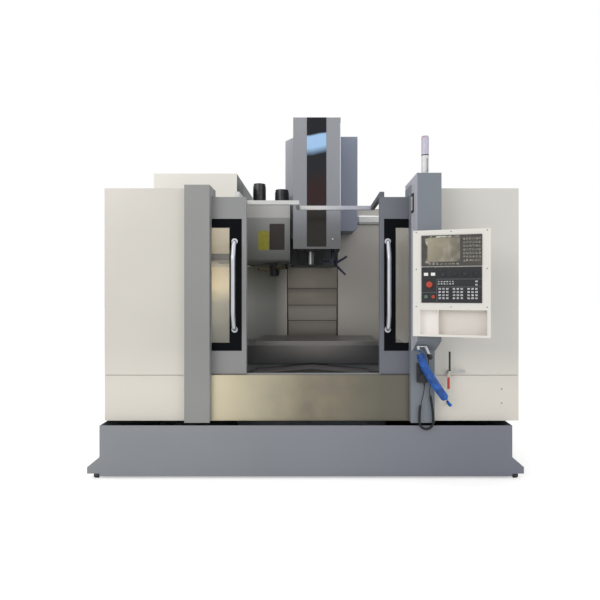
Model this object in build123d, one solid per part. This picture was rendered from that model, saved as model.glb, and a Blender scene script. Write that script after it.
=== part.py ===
from build123d import *
import math
import os

# A vertical machining center: bed, column, saddle, table, head, tool changer and enclosure.
# Millimetres, Z up, X to the right and Y away from the operator. The model is laid out about
# the middle of the column, the front sheet of the enclosure and the floor, and the finished
# pieces are then moved together so that the origin is under the middle of the whole machine.

# Sheet and general clearances
sheet = 4.0
thin_sheet = 2.5
seat_gap = 0.3
shaft_gap = 0.05
slide_gap = 0.6

# Enclosure
left_side_x = -1613.0
right_side_x = 1620.0
panel_y = 0.0
panel_flange = 14.0
enclosure_bottom_z = 430.0
panel_split_z = 785.0
panel_split_gap = 4.0
panel_top_z = 2244.0
rear_wall_y = 1850.0
rear_wall_top_z = 2420.0
inner_wall_x = 1500.0

# Splash walls and floor inside the enclosure
pan_outer_z = 600.0
pan_inner_z = 540.0
gutter_x = 640.0
gutter_z = 466.0
gutter_flange_z = 498.0
pan_front_y = 56.0
rear_wall_gap_x = 305.0
leg_size = 60.0

# Posts beside the doorway
post_front_y = -60.0
left_post_x = (-974.0, -780.0)
right_post_x = (765.0, 949.0)
post_top_z = 2258.0
post_hood_z = 2190.0
post_hood_depth = 216.0

# Swing box that carries the control pendant, above the right post
arm_box_x = (777.0, 957.0)
arm_box_front_y = -220.0
arm_box_back_y = 212.0
arm_box_top_z = 2308.0
arm_box_bottom_z = 1104.0
arm_box_flange = 29.0
arm_box_slope_z = 987.0

# Doors
door_front_y = 18.0
door_thickness = 48.0
door_width = 800.0
door_bottom_z = 794.0
door_top_z = 2180.0
door_kick_top_z = 972.0
door_header_bottom_z = 2009.0
door_edge_width = 35.0
door_far_stile = 70.0
opening_left_x = -509.0
opening_right_x = 537.0
door_travel = 522.0
glass_thickness = 8.0
glass_setback = 3.0
left_handle_inset = 91.0
right_handle_inset = 63.0
handle_top_z = 1830.0
handle_bottom_z = 1140.0
handle_radius = 17.0
handle_standoff = 78.0
handle_bow = 130.0
track_thickness = 24.0
track_height = 56.0

# Coolant tank
tank_x = (-1625.0, 1545.0)
tank_front_y = -60.0
tank_front_depth = 360.0
tank_wing_back_y = 1700.0
tank_wing_inner_x = 620.0
tank_bottom_z = 19.0
tank_top_z = 409.0
caster_bracket_left = 95.0
caster_bracket_right = 89.0
caster_bracket_bottom_z = 40.0
caster_bracket_edge = 50.0
caster_bracket_slope = 77.0
caster_bracket_sheet = 8.0
caster_wheel_radius = 18.0
caster_wheel_width = 26.0
caster_fork_width = 50.0

# Bed and column
bed_half_width = 450.0
bed_rear_half_width = 520.0
bed_y = (360.0, 2380.0)
bed_rear_y = 1860.0
bed_bottom_z = 60.0
bed_top_z = 560.0
bed_wall = 45.0
bed_rib = 35.0
foot_radius = 70.0
foot_height = 22.0
foot_stud_radius = 15.0
column_x = 0.0
column_half_width = 300.0
column_front_y = 1930.0
column_depth = 450.0
column_top_z = 2600.0
column_wall = 38.0
column_foot_height = 60.0

# Guideways and screws
rail_width = 45.0
rail_height = 38.0
y_rail_x = 330.0
y_rail_end_gap = 115.0
y_rail_span = (430.0, column_front_y - y_rail_end_gap)
z_rail_x = 200.0
z_rail_end_gap = 40.0
z_rail_span = (960.0, column_top_z - z_rail_end_gap)
screw_radius = 20.0
bearing_block = 90.0
motor_size = 160.0
motor_length = 230.0
motor_plate = 15.0
belt_case = 30.0

# Saddle and table
saddle_y = (960.0, 1460.0)
saddle_half_length = 830.0
saddle_bottom_z = 612.0
saddle_top_z = 790.0
slide_block_length = 130.0
slide_block_width = 100.0
x_rail_offset_y = 170.0
x_screw_height = 38.0
x_bearing_size = 72.0
table_carrier_x = 190.0
table_length = 1200.0
table_x = 50.0
table_y = (910.0, 1510.0)
table_top_z = 953.0
table_thickness = 88.0
t_slot_width = 18.0
t_slot_depth = 30.0
t_slot_foot_width = 30.0
t_slot_foot_depth = 12.0
t_slot_pitch = 100.0
t_slot_count = 5
guard_overhang = 300.0
guard_top_z = 911.0
guard_bottom_z = 737.0

# Telescopic covers in front of the saddle
y_cover_half_width = 545.0
y_cover_apex_z = 728.0
y_cover_fall = 48.0
y_cover_skirt = 62.0
y_cover_length = 325.0
y_cover_nest = 2.8
y_cover_front_y = 330.0
y_cover_mid_y = 480.0

# Telescopic covers below the head
z_cover_front_y = 1835.0
z_cover_half_width = 291.0
z_cover_return = 40.0
z_cover_nest = 2.8
z_cover_overlap = 23.0
z_cover_joint_z = (1470.0, 1276.0, 1094.0)
z_cover_base_bottom_z = 845.0

# Head and spindle
spindle_x = -18.0
spindle_y = 1210.0
spindle_nose_z = 1722.0
spindle_nose_radius = 34.0
spindle_shaft_radius = 30.0
spindle_flange_radius = 40.0
spindle_flange_z = 1846.0
spindle_shaft_top_z = 2420.0
taper_mouth_radius = 22.2
taper_depth = 65.0
taper_tip_radius = 12.8
drawbar_radius = 9.0
head_bottom_z = 1880.0
head_top_z = 2360.0
head_half_width = 132.0
head_front_y = 1060.0
carriage_y = (1700.0, 1880.0)
carriage_x = (-236.0, 246.0)
carriage_z = (1725.0, 2420.0)
cartridge_radius = 70.0
cartridge_height = 26.0
spindle_motor_size = 190.0
spindle_motor_height = 330.0
head_cover_x = (-188.0, 286.0)
head_cover_y = (990.0, 1450.0)
head_cover_z = (1865.0, 3176.0)
head_cover_lip = 18.0
strip_x = (-51.0, 143.0)
strip_proud = 3.0
strip_bottom_z = 1888.0
rear_cover_x = (-295.0, 497.0)
rear_cover_y = (1450.0, 1760.0)
rear_cover_bottom_z = 2106.0
rear_cover_left_bottom_z = 2016.0
rear_cover_top_z = 3140.0
rear_cover_chamfer = 42.0
rear_cover_slope = 50.0

# Coolant nozzles under the head cover
nozzle_hub = (212.0, 1180.0, 1760.0)
nozzle_link_radius = 13.0
nozzle_link_length = 22.0
nozzle_link_step = 0.9

# Tool changer
atc_x = -400.0
atc_plane_z = 1690.0
atc_arm_thickness = 26.0
atc_park_angle = 62.0
atc_grip_radius = 44.0
atc_arm_width = 62.0
atc_hub_radius = 58.0
atc_hub_height = 96.0
atc_shaft_radius = 32.0
atc_housing_x = (-681.0, -228.0)
atc_housing_y = (1140.0, 1430.0)
atc_housing_z = (1733.0, 2368.0)
atc_housing_round = 45.0
atc_tall_motor = (-560.0, 1290.0, 68.0, 2577.0)
atc_short_motor = (-322.0, 1290.0, 74.0, 2514.0)
atc_bracket_z = (2000.0, 2200.0)
atc_bracket_width = 115.0
magazine_x = (-1490.0, -707.0)
magazine_front_y = 740.0
magazine_z = (1733.0, 2551.0)
disc_x = -850.0
disc_z = 2160.0
disc_radius = 372.0
disc_thickness = 18.0
disc_hub_radius = 70.0
disc_axle_radius = 32.0
disc_axle_reach = 65.0
disc_hub_reach = 40.0
magazine_slot_reach = 130.0
magazine_slot_half = 80.0
magazine_slot_height = 230.0
pot_count = 24
pot_pitch_radius = 330.0
pot_radius = 37.0
pot_length = 96.0
pot_bore_radius = 23.0

# Roof beams
beam_z = (2196.0, 2232.0)
beam_depth = 30.0
left_beam_y = 410.0
right_beam_y = 657.0
beam_joint_x = -109.0
left_rail_x = (-608.0, -572.0)
right_rail_x = (545.0, 581.0)

# Control pendant, turned towards the operator at the doorway
pendant_corner = (728.0, -310.0)
pendant_turn = -16.4
pendant_width = 520.0
pendant_height = 750.0
pendant_depth = 80.0
pendant_bottom_z = 1120.0
pendant_wall = 3.0
pendant_pivot = (800.0, -236.0)
pendant_pin_radius = 9.0
pendant_screw_inset = 23.0
pendant_screw_v = (211.0, 475.0, 737.0)
pendant_hinge_z = (1275.0, 1780.0)
lug_height = 40.0
lug_radius = 14.0
post_lug_radius = 10.5
screen_u = (59.0, 464.0)
screen_v = (495.0, 712.0)
screen_proud = 7.0
screen_glass_u = (100.0, 320.0)
screen_glass_v = (526.0, 695.0)
operator_v = (238.0, 489.0)
operator_proud = 4.0
pocket_v = (16.0, 188.0)
pocket_left_u = (51.0, 171.0)
pocket_right_u = (177.0, 497.0)
pocket_depth = 55.0
pocket_lining = 1.5
estop_uv = (114.0, 366.0)
start_uv = (91.0, 281.0)
stop_uv = (140.0, 281.0)
feed_knob_uv = (207.0, 439.0)
spindle_knob_uv = (351.0, 439.0)
button_radius = 12.0
knob_radius = 15.0
estop_radius = 22.0
estop_stem_radius = 9.0
estop_travel = 6.0
button_travel = 4.0
knob_stem_radius = 6.0
stem_length = 24.0
unit_depth = 55.0

# Signal lamp, work lamp and electrical cabinet
signal_xy = (851.0, -160.0)
signal_radius = 28.0
signal_split_z = 2455.0
signal_top_z = 2593.0
work_lamp_x = (512.0, 1112.0)
work_lamp_z = (2235.0, 2333.0)
work_lamp_depth = 55.0
cabinet_x = (620.0, 1490.0)
cabinet_back_y = 2380.0
cabinet_z = (520.0, 2244.0)
cabinet_door_thickness = 22.0
cabinet_hinge_radius = 9.0

# Handwheel box, air gun, air hose and valve on the right of the front
mpg_x = (808.0, 884.0)
mpg_z = (746.0, 892.0)
mpg_depth = 44.0
mpg_wheel_radius = 26.0
mpg_stem_radius = 5.0
mpg_gland = 10.0
mpg_gland_x = 865.0
mpg_lead_radius = 3.5
mpg_curl_radius = 10.0
hose_coil_radius = 33.0
valve_xz = (1064.0, 806.0)
valve_pipe_reach = 118.0
valve_lever_rise = 170.0
valve_grip_drop = 118.0

# Routes of the lead, its curl and the coiled hose
lead_y = post_front_y - seat_gap - mpg_depth / 2
lead_lower_points = [(mpg_gland_x, lead_y, mpg_z[0] - mpg_gland), (mpg_gland_x, lead_y, 688.0),
                     (841.0, lead_y, 592.0)]
curl_points = [(841.0, lead_y, 592.0), (830.0, lead_y, 548.0), (826.0, lead_y, 490.0),
               (826.0, lead_y, 420.0), (857.0, lead_y, 389.0), (901.0, lead_y, 389.0),
               (932.0, lead_y, 420.0), (932.0, lead_y, 490.0), (922.0, lead_y, 574.0),
               (906.0, lead_y, 662.0)]
lead_upper_points = [(906.0, lead_y, 662.0), (902.0, lead_y, 684.0), (912.0, lead_y, 722.0),
                     (904.0, lead_y, 770.0), (892.0, lead_y, 825.0), (895.0, lead_y, 885.0),
                     (895.0, lead_y, 960.0)]
hose_points = [(803.0, -160.0, 1006.0), (826.0, -164.0, 925.0), (878.0, -160.0, 810.0),
               (1040.0, -80.0, 600.0)]


# Helpers

def block(x0, x1, y0, y1, z0, z1):
    """A box between two corners."""
    return Pos((x0 + x1) / 2, (y0 + y1) / 2, (z0 + z1) / 2) * Box(x1 - x0, y1 - y0, z1 - z0)


def rod_x(x0, x1, y, z, radius):
    return Pos((x0 + x1) / 2, y, z) * Rot(0, 90, 0) * Cylinder(radius, x1 - x0)


def rod_y(x, y0, y1, z, radius):
    return Pos(x, (y0 + y1) / 2, z) * Rot(90, 0, 0) * Cylinder(radius, y1 - y0)


def rod_z(x, y, z0, z1, radius):
    return Pos(x, y, (z0 + z1) / 2) * Cylinder(radius, z1 - z0)


def prism_x(points, x0, x1):
    """A YZ outline drawn out along X."""
    face = Plane.YZ.offset(x0) * make_face(Polyline(*points, close=True))
    return extrude(face, amount=x1 - x0)


def prism_y(points, y0, y1):
    """An XZ outline drawn out along Y."""
    face = Plane.XZ.offset(-y0) * make_face(Polyline(*points, close=True))
    return extrude(face, amount=y0 - y1)


def group(*solids):
    """Separate solids that share one node."""
    return Compound(children=[solid for shape in solids for solid in shape.solids()])


def at_x(value):
    return Plane.YZ.offset(value)


def at_y(value):
    return Plane.XZ.offset(-value)


def at_z(value):
    return Plane.XY.offset(value)


def parted(shape, *planes):
    """A thin-walled shape cut along planes in turn into flat plates, a full box left whole."""
    solids = shape.solids()
    for plane in planes:
        parts = []
        for solid in solids:
            size = solid.bounding_box().size
            if solid.volume > 0.98 * size.X * size.Y * size.Z:
                parts.append(solid)
            else:
                parts += split(solid, bisect_by=plane, keep=Keep.BOTH).solids()
        solids = parts
    return group(*solids)


# Floor, bed and column

def bed():
    """Ribbed casting, open below, wider under the column."""
    front = block(-bed_half_width, bed_half_width, bed_y[0], bed_rear_y, bed_bottom_z, bed_top_z)
    rear = block(-bed_rear_half_width, bed_rear_half_width, bed_rear_y, bed_y[1],
                 bed_bottom_z, bed_top_z)
    front_core = block(-bed_half_width + bed_wall, bed_half_width - bed_wall, bed_y[0] + bed_wall,
                       bed_rear_y - bed_rib / 2, bed_bottom_z, bed_top_z - bed_wall)
    rear_core = block(-bed_rear_half_width + bed_wall, bed_rear_half_width - bed_wall,
                      bed_rear_y + bed_rib / 2, bed_y[1] - bed_wall, bed_bottom_z,
                      bed_top_z - bed_wall)
    body = front + rear - front_core - rear_core
    middle_y = (bed_y[0] + bed_rear_y) / 2
    body += block(-bed_half_width + bed_wall, bed_half_width - bed_wall, middle_y - bed_rib / 2,
                  middle_y + bed_rib / 2, bed_bottom_z, bed_top_z - bed_wall)
    body += block(-bed_rib / 2, bed_rib / 2, bed_y[0] + bed_wall, bed_y[1] - bed_wall,
                  bed_bottom_z, bed_top_z - bed_wall)
    for seat in foot_seats():
        body += seat
    half_rib = bed_rib / 2
    return parted(body, at_z(bed_top_z - bed_wall), at_x(-half_rib), at_x(half_rib),
                  at_x(bed_wall - bed_half_width), at_x(bed_half_width - bed_wall),
                  at_y(bed_y[0] + bed_wall), at_y(middle_y - half_rib), at_y(middle_y + half_rib),
                  at_y(bed_rear_y - half_rib), at_y(bed_rear_y), at_y(bed_rear_y + half_rib),
                  at_y(bed_y[1] - bed_wall), at_x(bed_wall - bed_rear_half_width),
                  at_x(bed_rear_half_width - bed_wall))


def foot_places():
    inset = foot_radius + 5
    front_x = bed_half_width - inset
    rear_x = bed_rear_half_width - inset
    rows = ((front_x, bed_y[0] + inset), (front_x, bed_rear_y - 3 * inset), (rear_x, bed_y[1] - inset))
    return [(side * x, y) for x, y in rows for side in (-1, 1)]


def leveling_feet():
    """Pads on the floor with a stud up to the bed, one under each corner and side."""
    feet = []
    for x, y in foot_places():
        pad = rod_z(x, y, 0, foot_height, foot_radius)
        stud = rod_z(x, y, foot_height, bed_bottom_z - 12, foot_stud_radius)
        nut = Pos(x, y, bed_bottom_z - 6) * extrude(RegularPolygon(2 * foot_stud_radius, 6), 12)
        feet.append(pad + stud + Pos(0, 0, -6) * nut)
    return group(*feet)


def foot_seats():
    """Solid corners of the bed that the feet carry."""
    seats = []
    for x, y in foot_places():
        side = foot_radius + 5
        seats.append(block(x - side, x + side, y - side, y + side, bed_bottom_z,
                           bed_bottom_z + bed_wall))
    return seats


def column():
    """Box column with an open back window and a wide foot bolted to the bed."""
    y0 = column_front_y
    y1 = column_front_y + column_depth
    body = block(column_x - column_half_width, column_x + column_half_width, y0, y1,
                 bed_top_z, column_top_z)
    body -= block(column_x - column_half_width + column_wall,
                  column_x + column_half_width - column_wall, y0 + column_wall,
                  y1 - column_wall, bed_top_z + column_foot_height, column_top_z - column_wall)
    window_x = column_half_width - 3 * column_wall
    for low, high in ((0.12, 0.42), (0.52, 0.86)):
        height = column_top_z - bed_top_z
        body -= block(column_x - window_x, column_x + window_x, y1 - 2 * column_wall, y1 + 1,
                      bed_top_z + low * height, bed_top_z + high * height)
    for side in (-1, 1):
        inner = column_x + side * column_half_width
        outer = side * bed_rear_half_width
        body += prism_y([(inner, bed_top_z), (outer, bed_top_z),
                         (outer, bed_top_z + column_foot_height),
                         (inner, bed_top_z + 5 * column_foot_height)], y0 + column_wall,
                        y1 - column_wall)
    inner = column_half_width - column_wall
    cuts = [at_x(-column_half_width), at_x(column_half_width),
            at_z(bed_top_z + column_foot_height), at_z(column_top_z - column_wall),
            at_x(-inner), at_x(inner), at_y(y0 + column_wall), at_x(-window_x), at_x(window_x)]
    cuts += [at_z(bed_top_z + share * height) for share in (0.12, 0.42, 0.52, 0.86)]
    return parted(body, *cuts)


def rail_along_y(x, y0, y1, z):
    """Profile rail with a waisted side."""
    half = rail_width / 2
    waist = half - 6
    points = [(x - half, z), (x + half, z), (x + half, z + 10), (x + waist, z + 16),
              (x + waist, z + 24), (x + half, z + 30), (x + half, z + rail_height),
              (x - half, z + rail_height), (x - half, z + 30), (x - waist, z + 24),
              (x - waist, z + 16), (x - half, z + 10)]
    return prism_y(points, y0, y1)


def motor(axis):
    """Square servo motor with its flange and rear cap, shaft along the given axis from 0."""
    half = motor_size / 2
    body = Pos(0, 0, motor_length / 2) * Box(motor_size - 20, motor_size - 20, motor_length)
    body += Pos(0, 0, 10) * Box(motor_size, motor_size, 20)
    body += Pos(0, 0, motor_length + 20) * Cylinder(half - 24, 40)
    return axis * body


def drive_screw(length):
    """Ball screw with round bearing journals, along Z from 0."""
    return Pos(0, 0, length / 2) * Cylinder(screw_radius, length)


def axis_drives():
    """Rails, screws, bearing blocks and motors of the Y and Z axes."""
    half_block = bearing_block / 2
    pieces = []
    for side in (-1, 1):
        pieces.append(rail_along_y(side * y_rail_x, y_rail_span[0], y_rail_span[1], bed_top_z))
    screw_z = bed_top_z + half_block - 12
    y0 = y_rail_span[0]
    y1 = y_rail_span[1]
    screw = Pos(0, bed_y[0], screw_z) * Rot(-90, 0, 0) * drive_screw(y1 - bed_y[0])
    pieces.append(screw)
    for start in (y0, y1 - half_block):
        pieces.append(block(-half_block, half_block, start, start + half_block, bed_top_z,
                            screw_z + half_block - 12) - screw)
    # Z rails stand on the front of the column
    for side in (-1, 1):
        rail = rail_along_y(0, z_rail_span[0], z_rail_span[1], 0)
        place = Pos(side * z_rail_x + column_x, column_front_y, 0)
        pieces.append(place * Rot(90, 0, 0) * rail)
    z_screw_y = column_front_y - half_block + 12
    z0 = z_rail_span[0]
    z1 = z_rail_span[1]
    z_screw = Pos(column_x, z_screw_y, z0) * drive_screw(column_top_z - z0)
    pieces.append(z_screw)
    for start in (z0, z1 - half_block):
        pieces.append(block(column_x - half_block, column_x + half_block,
                            z_screw_y - half_block + 12, column_front_y, start,
                            start + half_block) - z_screw)
    plate_top = column_top_z + motor_plate
    plate = block(column_x - motor_size / 2, column_x + motor_size / 2,
                  z_screw_y - motor_size / 2, z_screw_y + motor_size, column_top_z, plate_top)
    pieces.append(plate)
    pieces.append(motor(Location((column_x, z_screw_y, plate_top))))
    # The Y motor is flanged to the front of the bed
    pieces.append(motor(Location((0, bed_y[0], screw_z), (90, 0, 0))))
    return group(*pieces)


# Coolant tank

def coolant_tank():
    """Sheet tank: a trough across the front with a wing down each side, open at the top."""
    x0, x1 = tank_x
    y0 = tank_front_y
    y1 = tank_front_y + tank_front_depth
    y2 = tank_wing_back_y
    z0 = tank_bottom_z + sheet
    z1 = tank_top_z
    inner = tank_wing_inner_x
    t = sheet
    floors = [block(x0, x1, y0, y1, tank_bottom_z, z0), block(x0, -inner, y1, y2, tank_bottom_z, z0),
              block(inner, x1, y1, y2, tank_bottom_z, z0)]
    walls = [block(x0, x1, y0, y0 + t, z0, z1), block(x0, x0 + t, y0 + t, y2, z0, z1),
             block(x1 - t, x1, y0 + t, y2, z0, z1), block(x0 + t, -inner, y2 - t, y2, z0, z1),
             block(inner, x1 - t, y2 - t, y2, z0, z1),
             block(-inner - t, -inner, y1, y2 - t, z0, z1),
             block(inner, inner + t, y1, y2 - t, z0, z1),
             block(-inner - t, inner + t, y1 - t, y1, z0, z1)]
    return group(*floors, *walls)


def caster_bracket(side):
    """Sloped bracket on the end of the tank with a fork and its wheel below."""
    reach = caster_bracket_left if side < 0 else caster_bracket_right
    wall = tank_x[0] if side < 0 else tank_x[1]
    edge = wall + side * reach
    z0 = caster_bracket_bottom_z
    pieces = []
    for y in (tank_front_y, tank_wing_back_y - caster_fork_width):
        plate = prism_y([(wall, z0), (edge, z0), (edge, z0 + caster_bracket_edge),
                         (wall, z0 + caster_bracket_edge + caster_bracket_slope)],
                        y, y + caster_bracket_sheet)
        floor = block(min(wall, edge), max(wall, edge), y, y + caster_fork_width, z0,
                      z0 + caster_bracket_sheet)
        hub_x = wall + side * (caster_fork_width / 2 + 2)
        hub_y = y + caster_fork_width / 2
        half_wheel = caster_wheel_width / 2
        fork = block(hub_x - half_wheel - 8, hub_x + half_wheel + 8, hub_y - 14, hub_y + 14,
                     z0 - 30, z0)
        fork -= block(hub_x - half_wheel - 1, hub_x + half_wheel + 1, hub_y - 20, hub_y + 20,
                      z0 - 40, z0 - 4)
        wheel = rod_x(hub_x - half_wheel, hub_x + half_wheel, hub_y, caster_wheel_radius,
                      caster_wheel_radius)
        pin = rod_x(hub_x - half_wheel - 8, hub_x + half_wheel + 8, hub_y, caster_wheel_radius, 4)
        pieces.append(plate + floor + fork)
        pieces.append(wheel + pin - fork)
    return pieces


def tank_casters():
    return group(*caster_bracket(-1), *caster_bracket(1))


# Saddle and table

def saddle():
    """Saddle casting with slide blocks that straddle the Y rails, and its gabled cover."""
    y0, y1 = saddle_y
    body = block(-saddle_half_length, saddle_half_length, y0, y1, saddle_bottom_z + 38,
                 saddle_top_z)
    lower = bed_half_width - slide_gap
    body += block(-lower, lower, y0, y1, saddle_bottom_z, saddle_bottom_z + 38)
    wall = bed_wall
    middle = (y0 + y1) / 2
    for side in (-1, 1):
        near = side * (bed_half_width + wall / 2)
        far = side * (saddle_half_length - wall)
        for start, end in ((y0 + wall, middle - wall / 2), (middle + wall / 2, y1 - wall)):
            body -= block(min(near, far), max(near, far), start, end, saddle_bottom_z + 37,
                          saddle_top_z - wall)
    for side in (-1, 1):
        for start in (y0, y1 - slide_block_length):
            x = side * y_rail_x
            carrier = block(x - slide_block_width / 2, x + slide_block_width / 2, start,
                            start + slide_block_length, bed_top_z + 6, saddle_bottom_z)
            carrier -= block(x - rail_width / 2 - slide_gap, x + rail_width / 2 + slide_gap,
                             start - 1, start + slide_block_length + 1, bed_top_z,
                             bed_top_z + rail_height + slide_gap)
            body += carrier
    screw_z = bed_top_z + bearing_block / 2 - 12
    nut = block(-45, 45, middle - 70, middle + 70, bed_top_z + 4, saddle_bottom_z)
    body += nut
    body -= rod_y(0, y0 - 1, y1 + 1, screw_z, screw_radius + seat_gap)
    near = bed_half_width + wall / 2
    far = saddle_half_length - wall
    casting = parted(body, at_z(saddle_bottom_z), at_z(saddle_bottom_z + 38),
                     at_z(saddle_top_z - wall), at_x(-near), at_x(near), at_x(-far), at_x(far),
                     at_z(bed_top_z + rail_height + slide_gap))
    return group(casting, y_cover_saddle())


def gable(level, y_start):
    """One gabled cover plate with side skirts, open below."""
    half = y_cover_half_width - level * y_cover_nest
    apex = y_cover_apex_z - level * y_cover_nest
    eave = apex - y_cover_fall
    foot = eave - y_cover_skirt
    t = thin_sheet
    outline = [(-half, foot), (-half, eave), (0, apex), (half, eave), (half, foot),
               (half - t, foot), (half - t, eave - t), (0, apex - t), (-half + t, eave - t),
               (-half + t, foot)]
    body = prism_y(outline, y_start, y_start + y_cover_length)
    return parted(body, at_x(0), at_x(t - half), at_x(half - t))


def y_cover_saddle():
    """Outer gabled cover, bolted to the front of the saddle."""
    return gable(0, saddle_y[0] - y_cover_length)


def y_cover_mid():
    return gable(1, y_cover_mid_y)


def y_cover_front():
    """Fixed gabled cover on two legs at the front of the bed."""
    pieces = [gable(2, y_cover_front_y)]
    half = y_cover_half_width - 2 * y_cover_nest
    foot = y_cover_apex_z - 2 * y_cover_nest - y_cover_fall - y_cover_skirt
    t = thin_sheet
    for side in (-1, 1):
        inner = side * bed_half_width
        outer = side * half
        x0, x1 = sorted((inner, outer - side * t))
        pieces.append(block(x0, x1, y_cover_front_y, y_cover_front_y + y_cover_length, foot,
                            foot + t))
        x0, x1 = sorted((inner, inner + side * t))
        pieces.append(block(x0, x1, bed_y[0], y_cover_front_y + y_cover_length, bed_top_z - 60,
                            foot))
    return group(*pieces)


def x_drive():
    """Rails, screw, bearing blocks and motor of the X axis, on the saddle."""
    middle = (saddle_y[0] + saddle_y[1]) / 2
    end = saddle_half_length - 12
    pieces = []
    for side in (-1, 1):
        rail = Rot(0, 0, 90) * rail_along_y(0, -end, end, 0)
        pieces.append(Pos(0, middle + side * x_rail_offset_y, saddle_top_z) * rail)
    axis_z = saddle_top_z + x_screw_height
    screw = rod_x(-saddle_half_length, end, middle, axis_z, screw_radius - 2)
    half = x_bearing_size / 2
    for x in (-end, end - half):
        screw += block(x, x + half, middle - half, middle + half, saddle_top_z,
                       axis_z + x_screw_height - 4)
    # Belt case on the left end, with the motor beside it under the table guard
    motor_z = saddle_top_z - motor_size / 2 - 10
    case_end = -saddle_half_length - belt_case
    screw += block(case_end, -saddle_half_length, middle - half - 20, middle + half + 20,
                   motor_z - motor_size / 2, axis_z + x_screw_height - 4)
    pieces.append(parted(screw, at_x(-saddle_half_length), at_x(-end), at_x(half - end),
                         at_x(end - half)))
    pieces.append(motor(Location((case_end, middle, motor_z), (0, -90, 0))))
    return group(*pieces)


def table():
    """Table with T-slots along X, and slide blocks and a screw nut below."""
    half = table_length / 2
    y0, y1 = table_y
    bottom = table_top_z - table_thickness
    body = block(table_x - half, table_x + half, y0, y1, bottom, table_top_z)
    middle = (y0 + y1) / 2
    for index in range(t_slot_count):
        y = middle + (index - (t_slot_count - 1) / 2) * t_slot_pitch
        x0 = table_x - half - 1
        x1 = table_x + half + 1
        body -= block(x0, x1, y - t_slot_width / 2, y + t_slot_width / 2,
                      table_top_z - t_slot_depth, table_top_z + 1)
        body -= block(x0, x1, y - t_slot_foot_width / 2, y + t_slot_foot_width / 2,
                      table_top_z - t_slot_depth, table_top_z - t_slot_depth + t_slot_foot_depth)
    saddle_middle = (saddle_y[0] + saddle_y[1]) / 2
    for side in (-1, 1):
        y = saddle_middle + side * x_rail_offset_y
        for x in (-table_carrier_x, table_carrier_x):
            carrier = block(table_x + x - slide_block_length / 2,
                            table_x + x + slide_block_length / 2, y - slide_block_width / 2,
                            y + slide_block_width / 2, saddle_top_z + 6, bottom)
            carrier -= block(table_x + x - slide_block_length, table_x + x + slide_block_length,
                             y - rail_width / 2 - slide_gap, y + rail_width / 2 + slide_gap,
                             saddle_top_z, saddle_top_z + rail_height + slide_gap)
            body += carrier
    axis_z = saddle_top_z + x_screw_height
    nut = block(table_x - 60, table_x + 60, saddle_middle - 40, saddle_middle + 40,
                saddle_top_z + 5, bottom)
    nut -= rod_x(table_x - 61, table_x + 61, saddle_middle, axis_z, screw_radius - 2 + seat_gap)
    return body + nut


def table_guards():
    """Sheet skirt round the table that covers the X rails and overhangs both ends."""
    half = table_length / 2
    x0 = table_x - half - guard_overhang
    x1 = table_x + half + guard_overhang
    y0 = table_y[0] - sheet
    y1 = table_y[1] + sheet
    pieces = [block(x0, x1, y0, table_y[0], guard_bottom_z, guard_top_z),
              block(x0, x1, table_y[1], y1, guard_bottom_z, guard_top_z)]
    for start, end in ((x0, table_x - half), (table_x + half, x1)):
        pieces.append(block(start, end, table_y[0], table_y[1], guard_top_z - sheet, guard_top_z))
    return group(*pieces)


# Head and spindle

def head():
    """Head casting with its carriage on the Z rails, and the spindle motor on top."""
    y0 = head_front_y
    body = block(spindle_x - head_half_width, spindle_x + head_half_width, y0, carriage_y[0],
                 head_bottom_z, head_top_z)
    body += rod_z(spindle_x, spindle_y, head_bottom_z - cartridge_height, head_bottom_z,
                  cartridge_radius)
    body += block(carriage_x[0], carriage_x[1], carriage_y[0], carriage_y[1], carriage_z[0],
                  carriage_z[1])
    # Web between the barrel and the carriage
    body += prism_x([(carriage_y[0], carriage_z[0] + 20), (carriage_y[0], head_bottom_z),
                     (spindle_y + 220, head_bottom_z)], spindle_x - head_half_width,
                    spindle_x + head_half_width)
    # Slide blocks astride the Z rails
    for side in (-1, 1):
        x = column_x + side * z_rail_x
        for start in (carriage_z[0] + 8, carriage_z[1] - slide_block_length - 8):
            body += block(x - 44, x + 44, carriage_y[1], column_front_y - 6, start,
                          start + slide_block_length)
            body -= block(x - rail_width / 2 - slide_gap, x + rail_width / 2 + slide_gap,
                          column_front_y - rail_height - slide_gap, column_front_y, start - 1,
                          start + slide_block_length + 1)
    # Bosses that the front cover is screwed to
    for z in (head_bottom_z + 80, head_top_z - 80):
        body += block(head_cover_x[0] + sheet, head_cover_x[1] - sheet, spindle_y + 90,
                      spindle_y + 130, z, z + 20)
    screw_y = column_front_y - bearing_block / 2 + 12
    body += block(column_x - 48, column_x + 48, carriage_y[1], column_front_y - 4,
                  carriage_z[0] + 260, carriage_z[0] + 380)
    body -= rod_z(column_x, screw_y, carriage_z[0] - 1, carriage_z[1] + 1,
                  screw_radius + seat_gap)
    # Bore for the spindle, with room above for its drive end
    body -= rod_z(spindle_x, spindle_y, head_bottom_z - cartridge_height - 1, head_top_z + 1,
                  spindle_shaft_radius + shaft_gap)
    casting = parted(body, at_y(carriage_y[0]), at_y(carriage_y[1]), at_z(head_bottom_z),
                     at_x(spindle_x - head_half_width), at_x(spindle_x + head_half_width),
                     at_y(column_front_y - rail_height - slide_gap))
    half = spindle_motor_size / 2
    drive = block(spindle_x - half, spindle_x + half, spindle_y - half, spindle_y + half,
                  head_top_z, head_top_z + spindle_motor_height)
    drive -= rod_z(spindle_x, spindle_y, head_top_z - 1, spindle_shaft_top_z + 10,
                   spindle_shaft_radius + 4)
    drive += rod_z(spindle_x, spindle_y, head_top_z + spindle_motor_height,
                   head_top_z + spindle_motor_height + 60, half - 22)
    return group(casting, drive)


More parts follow.
